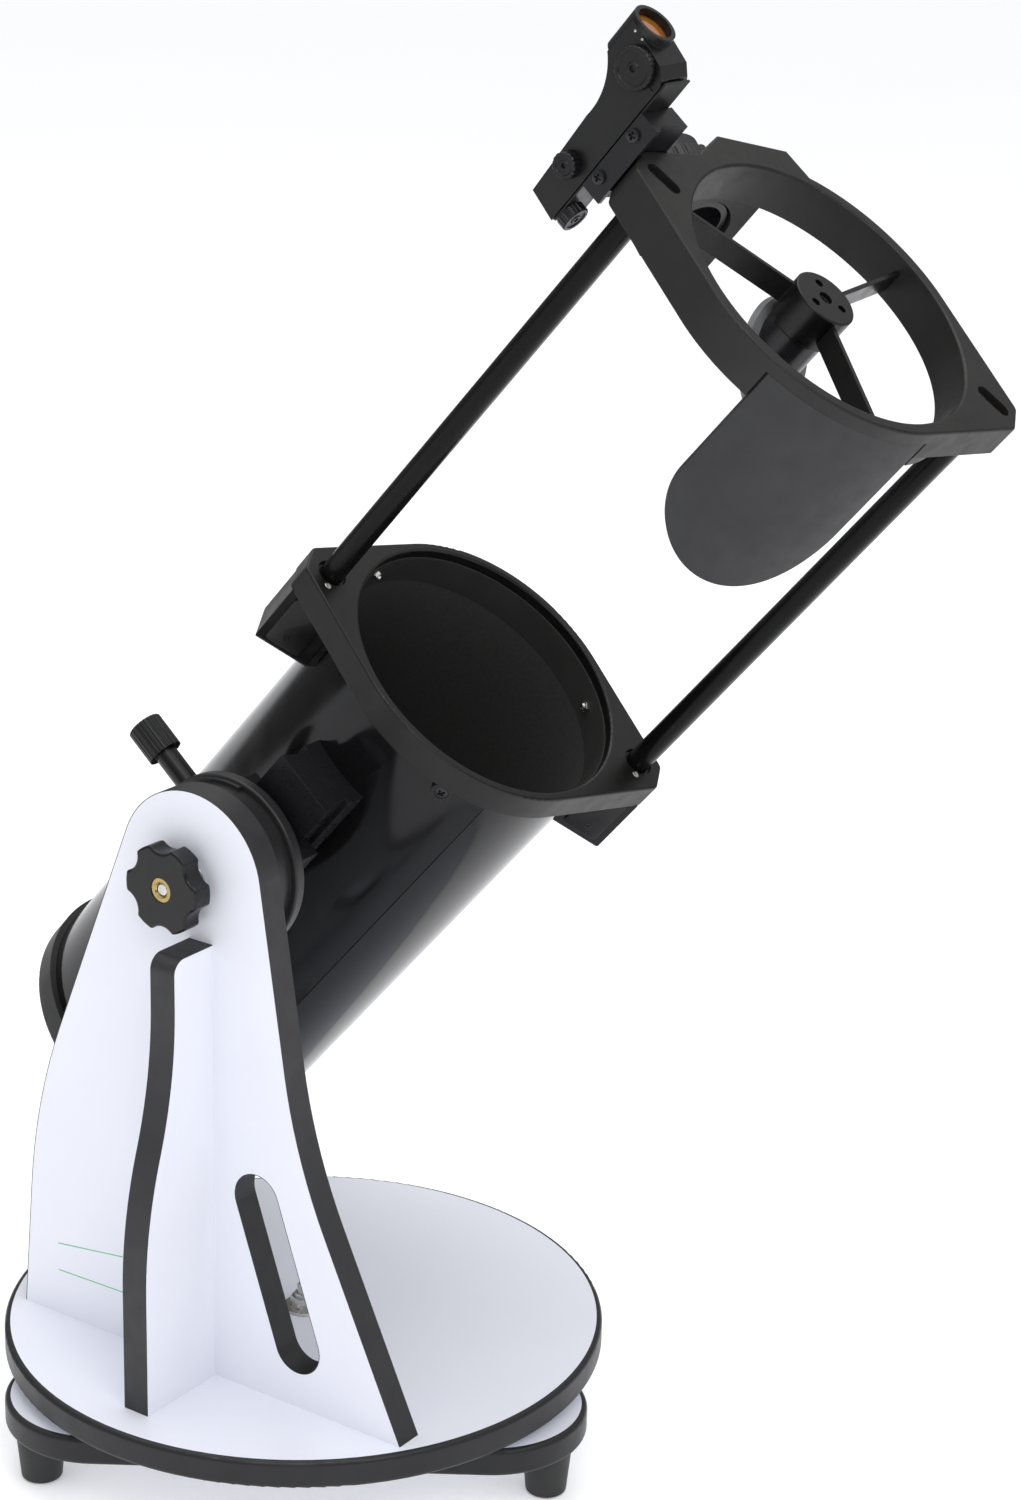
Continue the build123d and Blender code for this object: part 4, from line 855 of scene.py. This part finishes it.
back = Vector((
    math.sin(AZIMUTH) * math.cos(ELEVATION),
    -math.cos(AZIMUTH) * math.cos(ELEVATION),
    math.sin(ELEVATION),
))
level = Vector((0, 0, 1)).cross(back).normalized()
rise = back.cross(level)
right = level * math.cos(ROLL) + rise * math.sin(ROLL)
camera_data = bpy.data.cameras.new("camera")
camera_data.lens = LENS_MM
camera_data.sensor_width = SENSOR_MM
camera_data.clip_start = NEAR
camera_data.clip_end = FAR
camera = bpy.data.objects.new("camera", camera_data)
camera.matrix_world = basis(CAMERA_AT, back, right)
bpy.context.scene.collection.objects.link(camera)
bpy.context.scene.camera = camera

# ---------------------------------------------------------------- floor, world and lights
scene = bpy.context.scene
scene.view_settings.view_transform = "Standard"

FLOOR_R = 40.0
floor_graph = Graph("studio_floor")
floor_graph.bump([(floor_graph.noise(40, 3), 0.05)])
FLOOR = floor_graph.settle(
    Base_Color=floor_graph.scaled(
        linear(250, 250, 250), floor_graph.spread(floor_graph.noise(900, 2), 0.99, 1.0),
    ),
    Roughness=0.9,
    Specular_IOR_Level=0.1,
    Emission_Color=linear(255, 255, 255),
    Emission_Strength=0.2,
)
floor_mesh = bpy.data.meshes.new("studio_floor")
FLOOR_Z = -0.0005
FLOOR_RINGS = (FLOOR_R, 4.0, 0.8, 0.01)
floor_rows = [[(r * math.cos(a), r * math.sin(a), FLOOR_Z) for a in angles(96)] for r in FLOOR_RINGS]
floor_points, floor_faces = rings(floor_rows, closed_ends=False)
floor_mesh.from_pydata(floor_points, [], floor_faces)
floor_mesh.materials.append(FLOOR)
floor = bpy.data.objects.new("studio_floor", floor_mesh)
bpy.context.scene.collection.objects.link(floor)

world = bpy.data.worlds.new("studio")
scene.world = world
world.use_nodes = True
world.node_tree.nodes.clear()
tree = world.node_tree


def world_node(kind):
    return tree.nodes.new("ShaderNode" + kind)


paths = world_node("LightPath")
direction = world_node("TexCoord")
height = world_node("SeparateXYZ")
tree.links.new(direction.outputs["Generated"], height.inputs[0])
glow = world_node("ValToRGB")
tree.links.new(height.outputs["Z"], glow.inputs["Fac"])
SKY = ((0.0, 0.10), (0.18, 0.16), (0.45, 0.5), (0.8, 1.0))    # height and brightness, in reflections
AMBIENT_COLOUR = (0.80, 0.805, 0.83, 1)
BACKDROP_COLOUR = (1.0, 1.0, 1.0, 1)
ramp = glow.color_ramp
for index, (stop_at, level_value) in enumerate(SKY):
    element = ramp.elements[index] if index < 2 else ramp.elements.new(stop_at)
    element.position = stop_at
    element.color = (level_value, level_value, level_value, 1)
plain = world_node("RGB")
plain.outputs[0].default_value = AMBIENT_COLOUR
seen = world_node("Mix")
seen.data_type = "RGBA"
tree.links.new(paths.outputs["Is Glossy Ray"], seen.inputs["Factor"])
tree.links.new(plain.outputs[0], seen.inputs[6])
tree.links.new(glow.outputs["Color"], seen.inputs[7])
backdrop = world_node("Mix")
backdrop.data_type = "RGBA"
tree.links.new(paths.outputs["Is Camera Ray"], backdrop.inputs["Factor"])
tree.links.new(seen.outputs[2], backdrop.inputs[6])
backdrop.inputs[7].default_value = BACKDROP_COLOUR
shine = world_node("Background")
tree.links.new(backdrop.outputs[2], shine.inputs["Color"])
world_output = world_node("OutputWorld")
tree.links.new(shine.outputs[0], world_output.inputs["Surface"])


def softbox(name, place, target, size, power, mirrored=True):
    """Square soft light at place, turned to target, left out of reflections if mirrored is False."""
    data = bpy.data.lights.new(name, "AREA")
    data.shape = "RECTANGLE"
    data.size, data.size_y = size
    data.energy = power
    light = bpy.data.objects.new(name, data)
    sideways = Vector((0, 0, 1)).cross(Vector(place))
    light.matrix_world = basis(Vector(place), Vector(place) - Vector(target), sideways)
    light.visible_camera = False
    light.visible_glossy = mirrored
    bpy.context.scene.collection.objects.link(light)


AIM = (0, -0.05, 0.4)
softbox("key_light", (-1.6, -2.2, 3.0), AIM, (2.2, 1.6), 40)
softbox("fill_light", (-3.0, 0.6, 1.6), AIM, (1.6, 1.6), 1, mirrored=False)
softbox("top_light", (0.4, 0.4, 3.4), AIM, (2.6, 2.6), 34)
